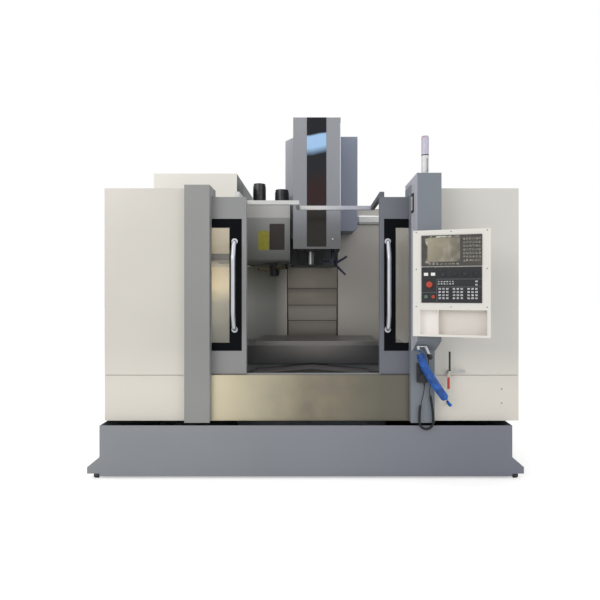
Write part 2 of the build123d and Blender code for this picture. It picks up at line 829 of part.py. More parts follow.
def spindle():
    """Spindle shaft with its nose, drive keys and tapered socket."""
    body = rod_z(spindle_x, spindle_y, spindle_nose_z, spindle_flange_z, spindle_nose_radius)
    body += rod_z(spindle_x, spindle_y, spindle_flange_z - 14, spindle_flange_z,
                  spindle_flange_radius)
    body += rod_z(spindle_x, spindle_y, spindle_flange_z, spindle_shaft_top_z,
                  spindle_shaft_radius)
    socket = Pos(spindle_x, spindle_y, spindle_nose_z + taper_depth / 2) * Cone(
        taper_mouth_radius, taper_tip_radius, taper_depth)
    body -= socket
    body -= rod_z(spindle_x, spindle_y, spindle_nose_z, spindle_shaft_top_z + 1, drawbar_radius)
    for side in (-1, 1):
        key = side * (taper_mouth_radius + 5)
        body -= block(spindle_x + key - 4, spindle_x + key + 4, spindle_y - 8, spindle_y + 8,
                      spindle_nose_z - 1, spindle_nose_z + 6)
    return body


def head_cover():
    """Front cover folded from one sheet, with the wider rear cover behind it."""
    x0, x1 = head_cover_x
    y0, y1 = head_cover_y
    z0, z1 = head_cover_z
    front = block(x0, x1, y0, y1, z0, z1)
    front -= block(x0 + sheet, x1 - sheet, y0 + sheet, y1 + 1, z0 - 1, z1 - sheet)
    lip = block(x0 + sheet, x1 - sheet, y0 + sheet, y0 + sheet + head_cover_lip, z0, z0 + sheet)
    front += lip
    strip_seat = block(strip_x[0], strip_x[1], y0 - 1, y0 + sheet / 2, strip_bottom_z, z1 + 1)
    front -= strip_seat
    front = parted(front, at_x(x0 + sheet), at_x(x1 - sheet), at_z(z1 - sheet), at_y(y0 + sheet))
    rx0, rx1 = rear_cover_x
    ry0, ry1 = rear_cover_y
    bottom = rear_cover_bottom_z
    left_bottom = rear_cover_left_bottom_z
    top = rear_cover_top_z
    cut = rear_cover_chamfer
    outline = [(rx0, left_bottom), (x1, left_bottom), (x1, bottom), (rx1 - cut, bottom),
               (rx1, bottom + cut), (rx1, top), (x0, top), (rx0, top - rear_cover_slope)]
    rear = prism_y(outline, ry0, ry1)
    t = sheet
    inner = [(rx0 + t, left_bottom - 1), (x1 - t, left_bottom - 1), (x1 - t, bottom + t),
             (rx1 - cut - t / 2, bottom + t), (rx1 - t, bottom + cut + t / 2), (rx1 - t, top - t),
             (x0 + t / 2, top - t), (rx0 + t, top - rear_cover_slope - t)]
    rear -= prism_y(inner, ry0 + t, ry1 + 1)
    # The head casting passes through the front wall of the rear cover
    rear -= block(x0 + t, x1 - t, ry0 - 1, ry0 + t + 1, left_bottom - 1, top - 10 * t)
    rear = parted(rear, at_y(ry0 + t), at_x(rx0 + t), at_x(x0 + t), at_x(x1 - t), at_x(x1),
                  at_x(rx1 - cut), at_x(rx1 - t), at_z(bottom + cut), at_z(top - 10 * t))
    return group(front, rear)


def head_strip():
    """Polished strip let into the middle of the front cover."""
    y0 = head_cover_y[0]
    return block(strip_x[0], strip_x[1], y0 - strip_proud, y0 + sheet / 2, strip_bottom_z,
                 head_cover_z[1])


def z_cover(level, bottom, top):
    """One plate of the telescopic cover below the head, folded back at both sides."""
    half = z_cover_half_width - level * z_cover_nest
    y0 = z_cover_front_y + level * z_cover_nest
    back = z_cover_front_y + z_cover_return
    t = thin_sheet
    body = block(column_x - half, column_x + half, y0, back, bottom, top)
    body -= block(column_x - half + t, column_x + half - t, y0 + t, back + 1, bottom - 1,
                  top + 1)
    return parted(body, at_x(column_x - half + t), at_x(column_x + half - t))


def z_cover_top():
    """Upper plate, hung from the bottom of the head carriage."""
    body = z_cover(0, z_cover_joint_z[0], carriage_z[0])
    flange = block(carriage_x[0], carriage_x[1], z_cover_front_y + thin_sheet,
                   z_cover_front_y + z_cover_return, carriage_z[0] - thin_sheet, carriage_z[0])
    return group(body, flange)


def z_cover_upper():
    return z_cover(1, z_cover_joint_z[1], z_cover_joint_z[0] + z_cover_overlap)


def z_cover_lower():
    return z_cover(2, z_cover_joint_z[2], z_cover_joint_z[1] + z_cover_overlap)


def z_cover_base():
    """Lowest plate, fixed to the foot of the column by two brackets."""
    pieces = [z_cover(3, z_cover_base_bottom_z, z_cover_joint_z[2] + z_cover_overlap)]
    half = z_cover_half_width - 3 * z_cover_nest
    for side in (-1, 1):
        x = column_x + side * (half - 40)
        pieces.append(block(x - 20, x + 20, z_cover_front_y + 3 * z_cover_nest + thin_sheet,
                            column_front_y, z_cover_base_bottom_z, z_cover_base_bottom_z + 6))
    return group(*pieces)


def coolant_nozzles():
    """Manifold on a bracket beside the head, with three ball-jointed hoses."""
    x, y, z = nozzle_hub
    side = spindle_x + head_half_width
    body = block(side, x + 26, y - 24, y + 24, head_bottom_z, head_bottom_z + 14)
    body += rod_z(x, y, z - 6, head_bottom_z, nozzle_link_radius + 3)
    body += block(x - 24, x + 24, y - 22, y + 22, z - 26, z + 22)
    hub = Vector(x, y, z)
    routes = (((18, -16, 2), (50, -54, -18), (88, -120, 2), (132, -190, 28)),
              ((18, -14, -14), (44, -44, -60), (84, -88, -104), (123, -130, -148)),
              ((-16, 0, -6), (-56, 6, -6), (-98, 14, -14), (-140, 20, -25)))
    hoses = []
    for route in routes:
        radius = nozzle_link_radius
        for start, end in zip(route, route[1:]):
            hoses.append(jointed_hose(hub + Vector(*start), hub + Vector(*end), radius))
            radius -= nozzle_link_step
    for hose in hoses:
        body += hose
    return body


def jointed_hose(a, b, radius):
    """A run of ball-jointed hose between two points, turned as one stepped profile."""
    length = (b - a).length
    count = max(2, round(length / nozzle_link_length))
    pitch = length / count
    neck = radius - 4
    outline = [(0, -5), (neck, -5)]
    for index in range(count):
        start = (index + 0.15) * pitch
        end = (index + 0.85) * pitch
        outline += [(neck, start - 2), (radius, start + 1), (radius, end - 1), (neck, end + 2)]
    outline += [(neck, length + 5), (0, length + 5)]
    profile = Plane.XZ * make_face(Polyline(*outline, close=True))
    return Plane(origin=a, z_dir=(b - a).normalized()) * revolve(profile, axis=Axis.Z)


# Tool changer

def atc_housing():
    """Sheet housing with a rounded lower front edge, open at the back."""
    x0, x1 = atc_housing_x
    y0, y1 = atc_housing_y
    z0, z1 = atc_housing_z
    outer = block(x0, x1, y0, y1, z0, z1)
    edge = outer.edges().filter_by(Axis.X).group_by(Axis.Z)[0].sort_by(Axis.Y)[0]
    outer = fillet(edge, atc_housing_round)
    inner = block(x0 + sheet, x1 - sheet, y0 + sheet, y1 + 1, z0 + sheet, z1 - sheet)
    edge = inner.edges().filter_by(Axis.X).group_by(Axis.Z)[0].sort_by(Axis.Y)[0]
    inner = fillet(edge, atc_housing_round - sheet)
    body = outer - inner
    body -= rod_z(atc_x, spindle_y, z0 - 1, z0 + atc_housing_round, atc_shaft_radius + 5)
    for x, y, radius, top in (atc_tall_motor, atc_short_motor):
        body -= rod_z(x, y, z1 - sheet - 1, z1 + 1, radius + seat_gap)
    return parted(body, at_x(x0 + sheet), at_x(x1 - sheet), at_y(y0 + atc_housing_round),
                  at_z(z0 + atc_housing_round), at_z(z1 - sheet))


def atc_unit():
    """Cam box that drives the arm, its back plate and bracket, and two capped motors."""
    x0, x1 = atc_housing_x
    y0, y1 = atc_housing_y
    z0, z1 = atc_housing_z
    inset = sheet + seat_gap
    box = block(x0 + 40, x1 - 12, y0 + 20, y1 - 30, z0 + 67, z1 - 70)
    box += block(x0 + inset, x1 - inset, y1 - 30, y1 - 4, z0 + 27, z1 - 30)
    box -= rod_z(atc_x, spindle_y, z0 + 60, z0 + 330, atc_shaft_radius + shaft_gap)
    for x, y, radius, top in (atc_tall_motor, atc_short_motor):
        box += rod_z(x, y, z1 - 71, top - 26, radius)
        box += rod_z(x, y, top - 26, top, radius - 5)
        for index in range(3):
            ring_z = z1 + 30 + index * (top - 60 - z1) / 3
            ring = rod_z(x, y, ring_z, ring_z + 6, radius + 1)
            box -= ring - rod_z(x, y, ring_z, ring_z + 6, radius - 4)
    right = rear_cover_x[0] - 12
    left = right - atc_bracket_width
    box += block(left, right, y1 - 4, column_front_y + 90, *atc_bracket_z)
    box += block(left, column_x - column_half_width, column_front_y + 8, column_front_y + 90,
                 *atc_bracket_z)
    return parted(box, at_y(y1 - 4), at_y(y1 - 30), at_x(right), at_z(z1 - 70),
                  at_x((atc_tall_motor[0] + atc_short_motor[0]) / 2))


def atc_shaft():
    """Shaft that lifts the arm, with a collar under the hub."""
    hub_bottom = atc_plane_z + atc_arm_thickness / 2 + 5 - atc_hub_height
    body = rod_z(atc_x, spindle_y, hub_bottom - 14, atc_housing_z[0] + 230, atc_shaft_radius)
    body += rod_z(atc_x, spindle_y, hub_bottom - 14, hub_bottom - seat_gap, atc_hub_radius - 10)
    return body


def atc_arm():
    """Double arm with a gripper hook at each end."""
    reach = spindle_x - atc_x
    half = atc_arm_thickness / 2
    blade = Box(2 * reach, atc_arm_width, atc_arm_thickness)
    for turn in (0, 180):
        hook = Cylinder(atc_grip_radius, atc_arm_thickness)
        hook -= Cylinder(atc_grip_radius - 19, atc_arm_thickness + 2)
        hook -= Pos(0, -atc_grip_radius, 0) * Box(2 * (atc_grip_radius - 24), 2 * atc_grip_radius,
                                                 atc_arm_thickness + 2)
        blade -= Rot(0, 0, turn) * Pos(reach, 0, 0) * Cylinder(atc_grip_radius - 1,
                                                              atc_arm_thickness + 2)
        blade += Rot(0, 0, turn) * Pos(reach, 0, 0) * hook
        blade += Rot(0, 0, turn) * Pos(reach / 2, 0, -half - 8) * Box(reach * 0.7, 26, 16)
    blade += Pos(0, 0, half + 5 - atc_hub_height / 2) * Cylinder(atc_hub_radius, atc_hub_height)
    blade -= Cylinder(atc_shaft_radius + shaft_gap, 3 * atc_hub_height)
    return Pos(atc_x, spindle_y, atc_plane_z) * Rot(0, 0, -atc_park_angle) * blade


def tool_disc():
    """Disc with a ring of tool pots, on a fixed axle."""
    x0 = disc_x - disc_thickness / 2
    x1 = disc_x + disc_thickness / 2
    body = rod_x(x0, x1, spindle_y, disc_z, disc_radius)
    body += rod_x(x0 - 50, x1 + disc_hub_reach, spindle_y, disc_z, disc_hub_radius)
    for index in range(pot_count):
        angle = 2 * math.pi * index / pot_count
        y = spindle_y + pot_pitch_radius * math.sin(angle)
        z = disc_z - pot_pitch_radius * math.cos(angle)
        body += rod_x(x0 - pot_length, x0, y, z, pot_radius)
        body -= rod_x(x0 - pot_length - 1, x0 - 20, y, z, pot_bore_radius)
    for index in range(6):
        angle = 2 * math.pi * (index + 0.5) / 6
        y = spindle_y + 0.5 * pot_pitch_radius * math.sin(angle)
        z = disc_z + 0.5 * pot_pitch_radius * math.cos(angle)
        body -= rod_x(x0 - 1, x1 + 1, y, z, disc_hub_radius * 0.75)
    body -= rod_x(x0 - 60, x1 + 50, spindle_y, disc_z, disc_axle_radius + shaft_gap)
    return parted(body, at_x(x0), at_x(x1))


def magazine_cover():
    """White box over the tool disc, with the axle of the disc on its right wall."""
    x0, x1 = magazine_x
    y0 = magazine_front_y
    y1 = rear_wall_y - seat_gap
    z0, z1 = magazine_z
    t = sheet
    slot_x = disc_x - magazine_slot_reach
    slot_y0 = spindle_y - magazine_slot_half
    slot_y1 = spindle_y + magazine_slot_half
    slot_z = z0 + magazine_slot_height
    plates = [block(x0, x1, y0, y0 + t, z0, z1), block(x0, x1, y1 - t, y1, z0, z1),
              block(x0, x0 + t, y0 + t, y1 - t, z0, z1),
              block(x0 + t, x1, y0 + t, y1 - t, z1 - t, z1)]
    # Floor and right wall, in pieces round the slot that a tool leaves by
    plates += [block(x0 + t, slot_x, y0 + t, y1 - t, z0, z0 + t),
               block(slot_x, x1, y0 + t, slot_y0, z0, z0 + t),
               block(slot_x, x1, slot_y1, y1 - t, z0, z0 + t),
               block(x1 - t, x1, y0 + t, slot_y0, z0 + t, z1 - t),
               block(x1 - t, x1, slot_y1, y1 - t, z0 + t, z1 - t),
               block(x1 - t, x1, slot_y0, slot_y1, slot_z, z1 - t)]
    axle = rod_x(disc_x - disc_axle_reach, x1 - t, spindle_y, disc_z, disc_axle_radius)
    collar = disc_x + disc_thickness / 2 + disc_hub_reach + seat_gap
    axle += rod_x(collar, x1 - t, spindle_y, disc_z, disc_hub_radius)
    return group(*plates, axle)


# Enclosure

def tray(x0, x1, z0, z1, depth):
    """A front sheet folded back at all four edges."""
    body = block(x0, x1, panel_y, panel_y + depth, z0, z1) - block(
        x0 + sheet, x1 - sheet, panel_y + sheet, panel_y + depth + 1, z0 + sheet, z1 - sheet)
    return parted(body, at_y(panel_y + sheet), at_x(x0 + sheet), at_x(x1 - sheet))


def front_panels():
    """White upper and lower sheets at the left and right of the front."""
    pieces = []
    low_top = panel_split_z - panel_split_gap / 2
    high_bottom = panel_split_z + panel_split_gap / 2
    for x0, x1 in ((left_side_x, left_post_x[0]), (right_post_x[1], right_side_x)):
        pieces.append(tray(x0, x1, enclosure_bottom_z, low_top, panel_flange))
        pieces.append(tray(x0, x1, high_bottom, panel_top_z, panel_flange))
    return group(*pieces)


def post(x0, x1):
    """Hollow post cover with a hood that reaches back over the door."""
    back = panel_y + panel_flange
    body = block(x0, x1, post_front_y, back, enclosure_bottom_z, post_top_z)
    body -= block(x0 + sheet, x1 - sheet, post_front_y + sheet, back + 1,
                  enclosure_bottom_z + sheet, post_hood_z)
    hood_back = post_front_y + post_hood_depth
    body += block(x0, x1, back, hood_back, post_hood_z, post_top_z)
    body -= block(x0 + sheet, x1 - sheet, post_front_y + sheet, hood_back - sheet,
                  post_hood_z + sheet, post_top_z - sheet)
    return body


def post_cuts(x0, x1):
    """Planes along the inner faces of a post."""
    return [at_z(post_hood_z), at_z(post_hood_z + sheet), at_z(post_top_z - sheet),
            at_x(x0 + sheet), at_x(x1 - sheet), at_y(post_front_y + sheet),
            at_y(post_front_y + post_hood_depth - sheet), at_z(enclosure_bottom_z + sheet)]


def left_post():
    return parted(post(*left_post_x), *post_cuts(*left_post_x))


def slope_z(y):
    """Height of the sloping underside of the swing box."""
    front_z = arm_box_bottom_z - arm_box_flange
    share = (y - arm_box_front_y) / (post_front_y - arm_box_front_y)
    return front_z + share * (arm_box_slope_z - front_z)


def lead_gland():
    """Cable gland in the sloping underside of the swing box."""
    x, y, z = lead_upper_points[-1]
    return rod_z(x, y, z, slope_z(y) + sheet, mpg_lead_radius + 4)


def right_post():
    """Right post, the swing box on it, and the pin that the pendant turns on."""
    body = post(*right_post_x)
    x0, x1 = arm_box_x
    y0 = arm_box_front_y
    y1 = post_front_y
    outline = [(y0, arm_box_bottom_z - arm_box_flange), (y1, arm_box_slope_z), (y1, arm_box_top_z),
               (y0, arm_box_top_z)]
    box = prism_x(outline, x0, x1)
    t = sheet
    core = [(y0 + t, arm_box_bottom_z - arm_box_flange + t), (y1, arm_box_slope_z + t),
            (y1, arm_box_top_z - t), (y0 + t, arm_box_top_z - t)]
    box -= prism_x(core, x0 + t, x1 - t)
    top_x1 = right_post_x[1]
    top = block(x0, top_x1, y1, arm_box_back_y, post_hood_z, arm_box_top_z)
    top -= block(x0 + t, top_x1 - t, y1 - 1, arm_box_back_y - t, post_hood_z + t,
                 arm_box_top_z - t)
    top += block(top_x1 - t, x1, y1, y1 + t, panel_top_z, arm_box_top_z)
    body = body - block(x0 + t, top_x1 - t, y1 + t, arm_box_back_y - t, post_hood_z + t,
                        post_top_z + 1)
    body += box
    body += top
    body += lead_gland()
    px, py = pendant_pivot
    z0, z1 = pendant_hinge_z
    body += rod_z(px, py, z0, z1, pendant_pin_radius)
    for z in (z0, z1 - lug_height):
        body += rod_z(px, py, z, z + lug_height, post_lug_radius)
        body += block(px - post_lug_radius, px + post_lug_radius, py, y0 + sheet, z,
                      z + lug_height)
    cuts = [at_y(y0), at_z(z0 + lug_height), at_z(z1 - lug_height), at_y(y0 + t), at_y(y1),
            at_y(y1 + t), at_x(x0), at_x(x0 + t), at_x(top_x1 - t), at_x(x1 - t),
            at_y(arm_box_back_y - t), at_z(arm_box_top_z - t), at_z(post_hood_z + t),
            at_z(post_hood_z), at_z(arm_box_bottom_z), at_x(right_post_x[0] + t),
            at_z(enclosure_bottom_z + t)]
    return parted(body, *cuts)


def front_plate():
    """Brushed sheet below the doors, folded back at its top edge."""
    x0 = left_post_x[1] + seat_gap
    x1 = right_post_x[0] - seat_gap
    body = block(x0, x1, panel_y, panel_y + sheet, enclosure_bottom_z, panel_split_z)
    flange = block(x0, x1, panel_y + sheet, pan_front_y + sheet, panel_split_z - sheet,
                   panel_split_z)
    return group(body, flange)


def top_frame():
    """Roof rails and cross beams, and the tracks that guide the doors above and below."""
    z0, z1 = beam_z
    track_top = door_top_z - 4
    track_y0 = door_front_y + door_thickness + seat_gap
    track_y1 = track_y0 + track_thickness
    pieces = []
    end = inner_wall_x - 20
    for x0, x1 in ((-end, left_rail_x[1]), (right_rail_x[0], end)):
        pieces.append(block(x0, x1, track_y0, track_y1, track_top - track_height, track_top))
    rails = ((left_rail_x, left_beam_y + beam_depth), (right_rail_x, right_beam_y + beam_depth))
    for (x0, x1), rail_end in rails:
        pieces.append(block(x0, x1, track_y0, rail_end, z0, z1))
        pieces.append(block(x0, x1, track_y0, track_y1, track_top, z0))
    for x0, x1 in (left_post_x, right_post_x):
        pieces.append(block(x0 + 20, x1 - 20, track_y0, track_y1, track_top, post_hood_z))
    joint = beam_joint_x
    pieces.append(block(left_rail_x[1], joint, left_beam_y, left_beam_y + beam_depth, z0, z1))
    pieces.append(block(joint, right_rail_x[0], right_beam_y, right_beam_y + beam_depth, z0, z1))
    pieces.append(block(joint - beam_depth, joint, left_beam_y + beam_depth,
                        right_beam_y + beam_depth, z0, z1))
    pieces.append(block(-end, end, door_front_y + 12, door_front_y + 36, panel_split_z,
                        door_bottom_z - seat_gap))
    return group(*pieces)


def side_panels():
    """Outer side sheets with their back returns, top caps and rear legs."""
    pieces = []
    y0 = panel_y + panel_flange
    y1 = rear_wall_y
    inner = inner_wall_x + seat_gap
    for side, outer in ((-1, left_side_x), (1, right_side_x)):
        inside = outer - side * sheet
        top = panel_top_z - sheet
        x0, x1 = sorted((outer, inside))
        pieces.append(block(x0, x1, y0, y1, enclosure_bottom_z, panel_top_z))
        x0, x1 = sorted((inside, side * inner))
        pieces.append(block(x0, x1, y1 - sheet, y1, enclosure_bottom_z, top))
        pieces.append(block(x0, x1, y0, y1, top, panel_top_z))
        x0, x1 = sorted((outer, outer - side * leg_size))
        pieces.append(block(x0, x1, y1 - leg_size, y1, 0, enclosure_bottom_z))
    return group(*pieces)


def splash_pan():
    """Inner walls, sloping floors with a chip gutter on each side, and the front sill."""
    pieces = []
    t = sheet
    y0 = pan_front_y + sheet
    y1 = rear_wall_y
    wall = inner_wall_x
    for side in (-1, 1):
        x0, x1 = sorted((side * (wall - t), side * wall))
        pieces.append(block(x0, x1, y0, y1, pan_outer_z + t, panel_top_z))
        slope = [(wall, pan_outer_z), (wall, pan_outer_z + t), (gutter_x, pan_inner_z + t),
                 (gutter_x, pan_inner_z)]
        gutter = [(gutter_x, pan_inner_z), (gutter_x + t, pan_inner_z),
                  (gutter_x + t, gutter_z), (bed_half_width, gutter_z),
                  (bed_half_width, gutter_flange_z), (bed_half_width + t, gutter_flange_z),
                  (bed_half_width + t, gutter_z + t), (gutter_x, gutter_z + t)]
        pieces.append(prism_y([(side * a, b) for a, b in slope], y0, y1))
        channel = prism_y([(side * a, b) for a, b in gutter], y0, y1)
        pieces.append(parted(channel, at_x(side * gutter_x), at_x(side * (bed_half_width + t))))
        x0, x1 = sorted((side * rear_wall_gap_x, side * wall))
        back = block(x0, x1, y1, y1 + t, gutter_z, rear_wall_top_z)
        x0, x1 = sorted((side * rear_wall_gap_x, side * (rear_wall_gap_x - t)))
        back += block(x0, x1, y1, column_front_y + 60, bed_top_z + 5 * column_foot_height,
                      rear_wall_top_z)
        back -= block(-bed_half_width - seat_gap, bed_half_width + seat_gap, y1 - 1, y1 + t + 1,
                      gutter_z - 1, bed_top_z + seat_gap)
        if side < 0:
            # Notch round the bracket of the tool changer
            back -= block(rear_cover_x[0] - 15 - atc_bracket_width, 0, y1 - 1,
                          column_front_y + 95, atc_bracket_z[0] - 1, atc_bracket_z[1] + 1)
        pieces.append(parted(back, at_y(y1 + t), at_z(bed_top_z + seat_gap),
                             at_z(atc_bracket_z[0] - 1), at_z(atc_bracket_z[1] + 1)))
    pieces.append(block(-inner_wall_x, inner_wall_x, pan_front_y, pan_front_y + t, gutter_z,
                        panel_split_z - t))
    return group(*pieces)


def door(x0, x1, edge_side):
    """Sheet-metal door leaf: header, kick panel and two stiles round the glass."""
    y0 = door_front_y
    y1 = door_front_y + door_thickness
    body = block(x0, x1, y0, y1, door_bottom_z, door_top_z)
    hole_x0, hole_x1 = door_hole(x0, x1, edge_side)
    body -= block(hole_x0, hole_x1, y0 - 1, y1 + 1, door_kick_top_z, door_header_bottom_z)
    for z0, z1 in ((door_bottom_z, door_kick_top_z), (door_header_bottom_z, door_top_z)):
        body -= block(x0 + sheet, x1 - sheet, y0 + sheet, y1 + 1, z0 + sheet, z1 - sheet)
    return parted(body, at_z(door_kick_top_z), at_z(door_header_bottom_z), at_y(y0 + sheet),
                  at_x(x0 + sheet), at_x(x1 - sheet))


def door_hole(x0, x1, edge_side):
    if edge_side > 0:
        return x0 + door_far_stile, x1 - door_edge_width
    return x0 + door_edge_width, x1 - door_far_stile


def window(x0, x1, edge_side):
    """Glass pane, set back in the leaf."""
    hole_x0, hole_x1 = door_hole(x0, x1, edge_side)
    y = door_front_y + glass_setback
    return block(hole_x0 + seat_gap, hole_x1 - seat_gap, y, y + glass_thickness,
                 door_kick_top_z + seat_gap, door_header_bottom_z - seat_gap)


def handle(x):
    """Bowed tube handle, its ends screwed to bosses on the glass edge strip."""
    y0 = door_front_y + glass_setback
    y1 = door_front_y - handle_standoff
    middle = (y0 + y1) / 2
    points = [(x, y0, handle_top_z), (x, middle, handle_top_z - 16),
              (x, y1, handle_top_z - handle_bow), (x, y1, handle_bottom_z + handle_bow),
              (x, middle, handle_bottom_z + 16), (x, y0, handle_bottom_z)]
    path = FilletPolyline(*points, radius=(22, 60, 60, 22))
    start = Plane(origin=path @ 0, z_dir=path % 0)
    body = sweep(start * Circle(handle_radius), path=path)
    for z in (handle_top_z, handle_bottom_z):
        body += rod_y(x, y0 - 8, y0, z, handle_radius + 7)
    trim = block(x - 60, x + 60, y0, y0 + 60, handle_bottom_z - 80, handle_top_z + 80)
    return body - trim


left_leaf = (opening_left_x - door_width, opening_left_x)
right_leaf = (opening_right_x, opening_right_x + door_width)
left_handle_x = opening_left_x - left_handle_inset
right_handle_x = opening_right_x + right_handle_inset


def left_door():
    return door(*left_leaf, 1)


def right_door():
    return door(*right_leaf, -1)


def left_window():
    return window(*left_leaf, 1)


def right_window():
    return window(*right_leaf, -1)


def left_handle():
    return handle(left_handle_x)


def right_handle():
    return handle(right_handle_x)


def signal_lamp():
    """Clear stacked lamp on the pendant box, with the rod inside its lower half."""
    x, y = signal_xy
    z = arm_box_top_z
    lower = rod_z(x, y, z, signal_split_z - 4, signal_radius)
    lower -= rod_z(x, y, z - 1, signal_split_z - 20, signal_radius - 4)
    rod = rod_z(x + 6, y, z, signal_split_z - 19, 6)
    ring = rod_z(x, y, signal_split_z - 4, signal_split_z, signal_radius - 2)
    upper = rod_z(x, y, signal_split_z, signal_top_z - 8, signal_radius)
    cap = rod_z(x, y, signal_top_z - 8, signal_top_z, signal_radius - 3)
    return group(lower + rod, ring, upper, cap)


def work_lamp():
    """Tube lamp along the top of the right rear wall."""
    x0, x1 = work_lamp_x
    z0, z1 = work_lamp_z
    y1 = rear_wall_y
    y0 = y1 - work_lamp_depth
    outline = [(y1, z0), (y0 + 18, z0), (y0, z0 + 22), (y0, z1 - 14), (y0 + 14, z1), (y1, z1)]
    body = prism_x(outline, x0, x1)
    for x in (x0, x1 - 14):
        body += block(x, x + 14, y0 - 4, y1, z0 - 4, z1 + 4)
    return body


def electrical_cabinet():
    """Cabinet behind the right rear wall, open at the back, with drives on its plate."""
    x0, x1 = cabinet_x
    y0 = rear_wall_y + sheet + seat_gap
    y1 = cabinet_back_y
    z0, z1 = cabinet_z
    t = sheet
    pieces = [block(x0, x1, y0, y0 + t, z0, z1), block(x0, x0 + t, y0 + t, y1, z0, z1),
              block(x1 - t, x1, y0 + t, y1, z0, z1),
              block(x0 + t, x1 - t, y0 + t, y1, z0, z0 + t),
              block(x0 + t, x1 - t, y0 + t, y1, z1 - t, z1)]
    for column_index in range(4):
        for row_index in range(3):
            left = x0 + 110 + column_index * 170
            low = z0 + 200 + row_index * 480
            pieces.append(block(left, left + 120, y0 + t, y0 + 210, low, low + 320))
    px = x1 + cabinet_hinge_radius
    py = y1 + cabinet_door_thickness / 2
    for z in (z0 + 150, z1 - 250):
        hinge = rod_z(px, py, z, z + 100, cabinet_hinge_radius - 4)
        hinge += rod_z(px, py, z, z + 30, cabinet_hinge_radius)
        hinge += block(x1, px, y1 - 20, py, z, z + 30)
        pieces.append(hinge)
    return group(*pieces)


def cabinet_door():
    """Folded rear door with hinge barrels and a lever lock."""
    x0, x1 = cabinet_x
    y0 = cabinet_back_y + seat_gap
    y1 = y0 + cabinet_door_thickness
    z0, z1 = cabinet_z
    body = block(x0, x1 - 2, y0, y1, z0, z1)
    body -= block(x0 + sheet, x1 - 2 - sheet, y0 - 1, y1 - sheet, z0 + sheet, z1 - sheet)
    px = x1 + cabinet_hinge_radius
    py = cabinet_back_y + cabinet_door_thickness / 2
    for z in (z0 + 150, z1 - 250):
        low = z + 30 + seat_gap
        body += rod_z(px, py, low, z + 100, cabinet_hinge_radius)
        body += block(x1 - 20, px, py, y1, low, z + 100)
        body -= rod_z(px, py, z, z + 101, cabinet_hinge_radius - 4 + shaft_gap)
    lock_x = x0 + 45
    lock_z = (z0 + z1) / 2
    body += block(lock_x - 14, lock_x + 14, y1, y1 + 10, lock_z - 80, lock_z + 80)
    body += block(lock_x - 9, lock_x + 9, y1 + 10, y1 + 24, lock_z - 60, lock_z + 40)
    return parted(body, at_y(y1), at_y(y1 - sheet), at_x(x0 + sheet), at_x(x1 - 2 - sheet))


# Control pendant, drawn in its own frame: U along the width, V up and W out to the operator

def pendant_frame():
    turn = math.radians(pendant_turn)
    x, y = pendant_corner
    return Plane(origin=(x, y, pendant_bottom_z), x_dir=(math.cos(turn), math.sin(turn), 0),
                 z_dir=(math.sin(turn), -math.cos(turn), 0))


frame = pendant_frame()


def face_block(u0, u1, v0, v1, w0, w1):
    return frame * Pos((u0 + u1) / 2, (v0 + v1) / 2, (w0 + w1) / 2) * Box(u1 - u0, v1 - v0, w1 - w0)


def face_rod(u, v, w0, w1, radius):
    return frame * Pos(u, v, (w0 + w1) / 2) * Cylinder(radius, w1 - w0)


def pendant_box():
    """Sheet-metal housing: a closed upper part with the hinge, and two pockets below."""
    depth = pendant_depth
    wall = pendant_wall
    width = pendant_width
    v0, v1 = pocket_v
    divider = v1 + wall
    top = pendant_height
    back = face_block(0, width, 0, top, -depth, -depth + wall)
    left_wall = face_block(0, wall, 0, top, -depth + wall, -wall)
    right_wall = face_block(width - wall, width, 0, top, -depth + wall, -wall)
    pieces = [back, left_wall, right_wall,
              face_block(wall, width - wall, 0, wall, -depth + wall, -wall),
              face_block(wall, width - wall, divider, divider + wall, -depth + wall, -wall),
              face_block(wall, width - wall, top - wall, top, -depth + wall, -wall)]
    # Front strips round the screen and the operator panel, with their screws
    u0, u1 = screen_u
    low, high = operator_v[0] + 6, screen_v[1] - 6
    strips = [face_block(0, width, divider, low, -wall, 0),
              face_block(0, width, high, top, -wall, 0),
              face_block(0, u0 + 6, low, high, -wall, 0),
              face_block(u1 - 6, width, low, high, -wall, 0),
              face_block(u0 + 6, u1 - 6, operator_v[1] - 6, screen_v[0] + 6, -wall, 0)]
    screws_uv = [(u, v) for u in (pendant_screw_inset, width - pendant_screw_inset)
                 for v in pendant_screw_v]
    screws_uv += [(width / 2, pendant_screw_v[0]), (width / 2, pendant_screw_v[-1])]
    for u, v in screws_uv:
        place = 0 if v == pendant_screw_v[0] else 1
        if v == pendant_screw_v[1]:
            place = 2 if u < width / 2 else 3
        strips[place] += face_rod(u, v, -wall / 2, 2, 4)
    pieces += strips
    # Hinge lugs behind
    px, py = pendant_pivot
    z0 = pendant_hinge_z[0] + lug_height + seat_gap
    z1 = pendant_hinge_z[1] - lug_height - seat_gap
    for low, high in ((z0, z0 + lug_height), (z1 - lug_height, z1)):
        lug = rod_z(px, py, low, high, lug_radius)
        lug -= rod_z(px, py, low - 1, high + 1, pendant_pin_radius + shaft_gap)
        pieces.append(lug - face_block(0, width, 0, top, -depth, 0))
    # Front strips round the pockets
    left, right = pocket_left_u, pocket_right_u
    pieces += [face_block(0, width, 0, v0, -wall, 0), face_block(0, width, v1, divider, -wall, 0)]
    for a, b in ((0, left[0]), (left[1], right[0]), (right[1], width)):
        pieces.append(face_block(a, b, v0, v1, -wall, 0))
    # Linings of the pockets
    t = pocket_lining
    for a, b in (left, right):
        pieces += [face_block(a - t, b + t, v0 - t, v1 + t, -pocket_depth - t, -pocket_depth),
                   face_block(a - t, a, v0 - t, v1 + t, -pocket_depth, -wall),
                   face_block(b, b + t, v0 - t, v1 + t, -pocket_depth, -wall),
                   face_block(a, b, v0 - t, v0, -pocket_depth, -wall),
                   face_block(a, b, v1, v1 + t, -pocket_depth, -wall)]
    return group(*pieces)


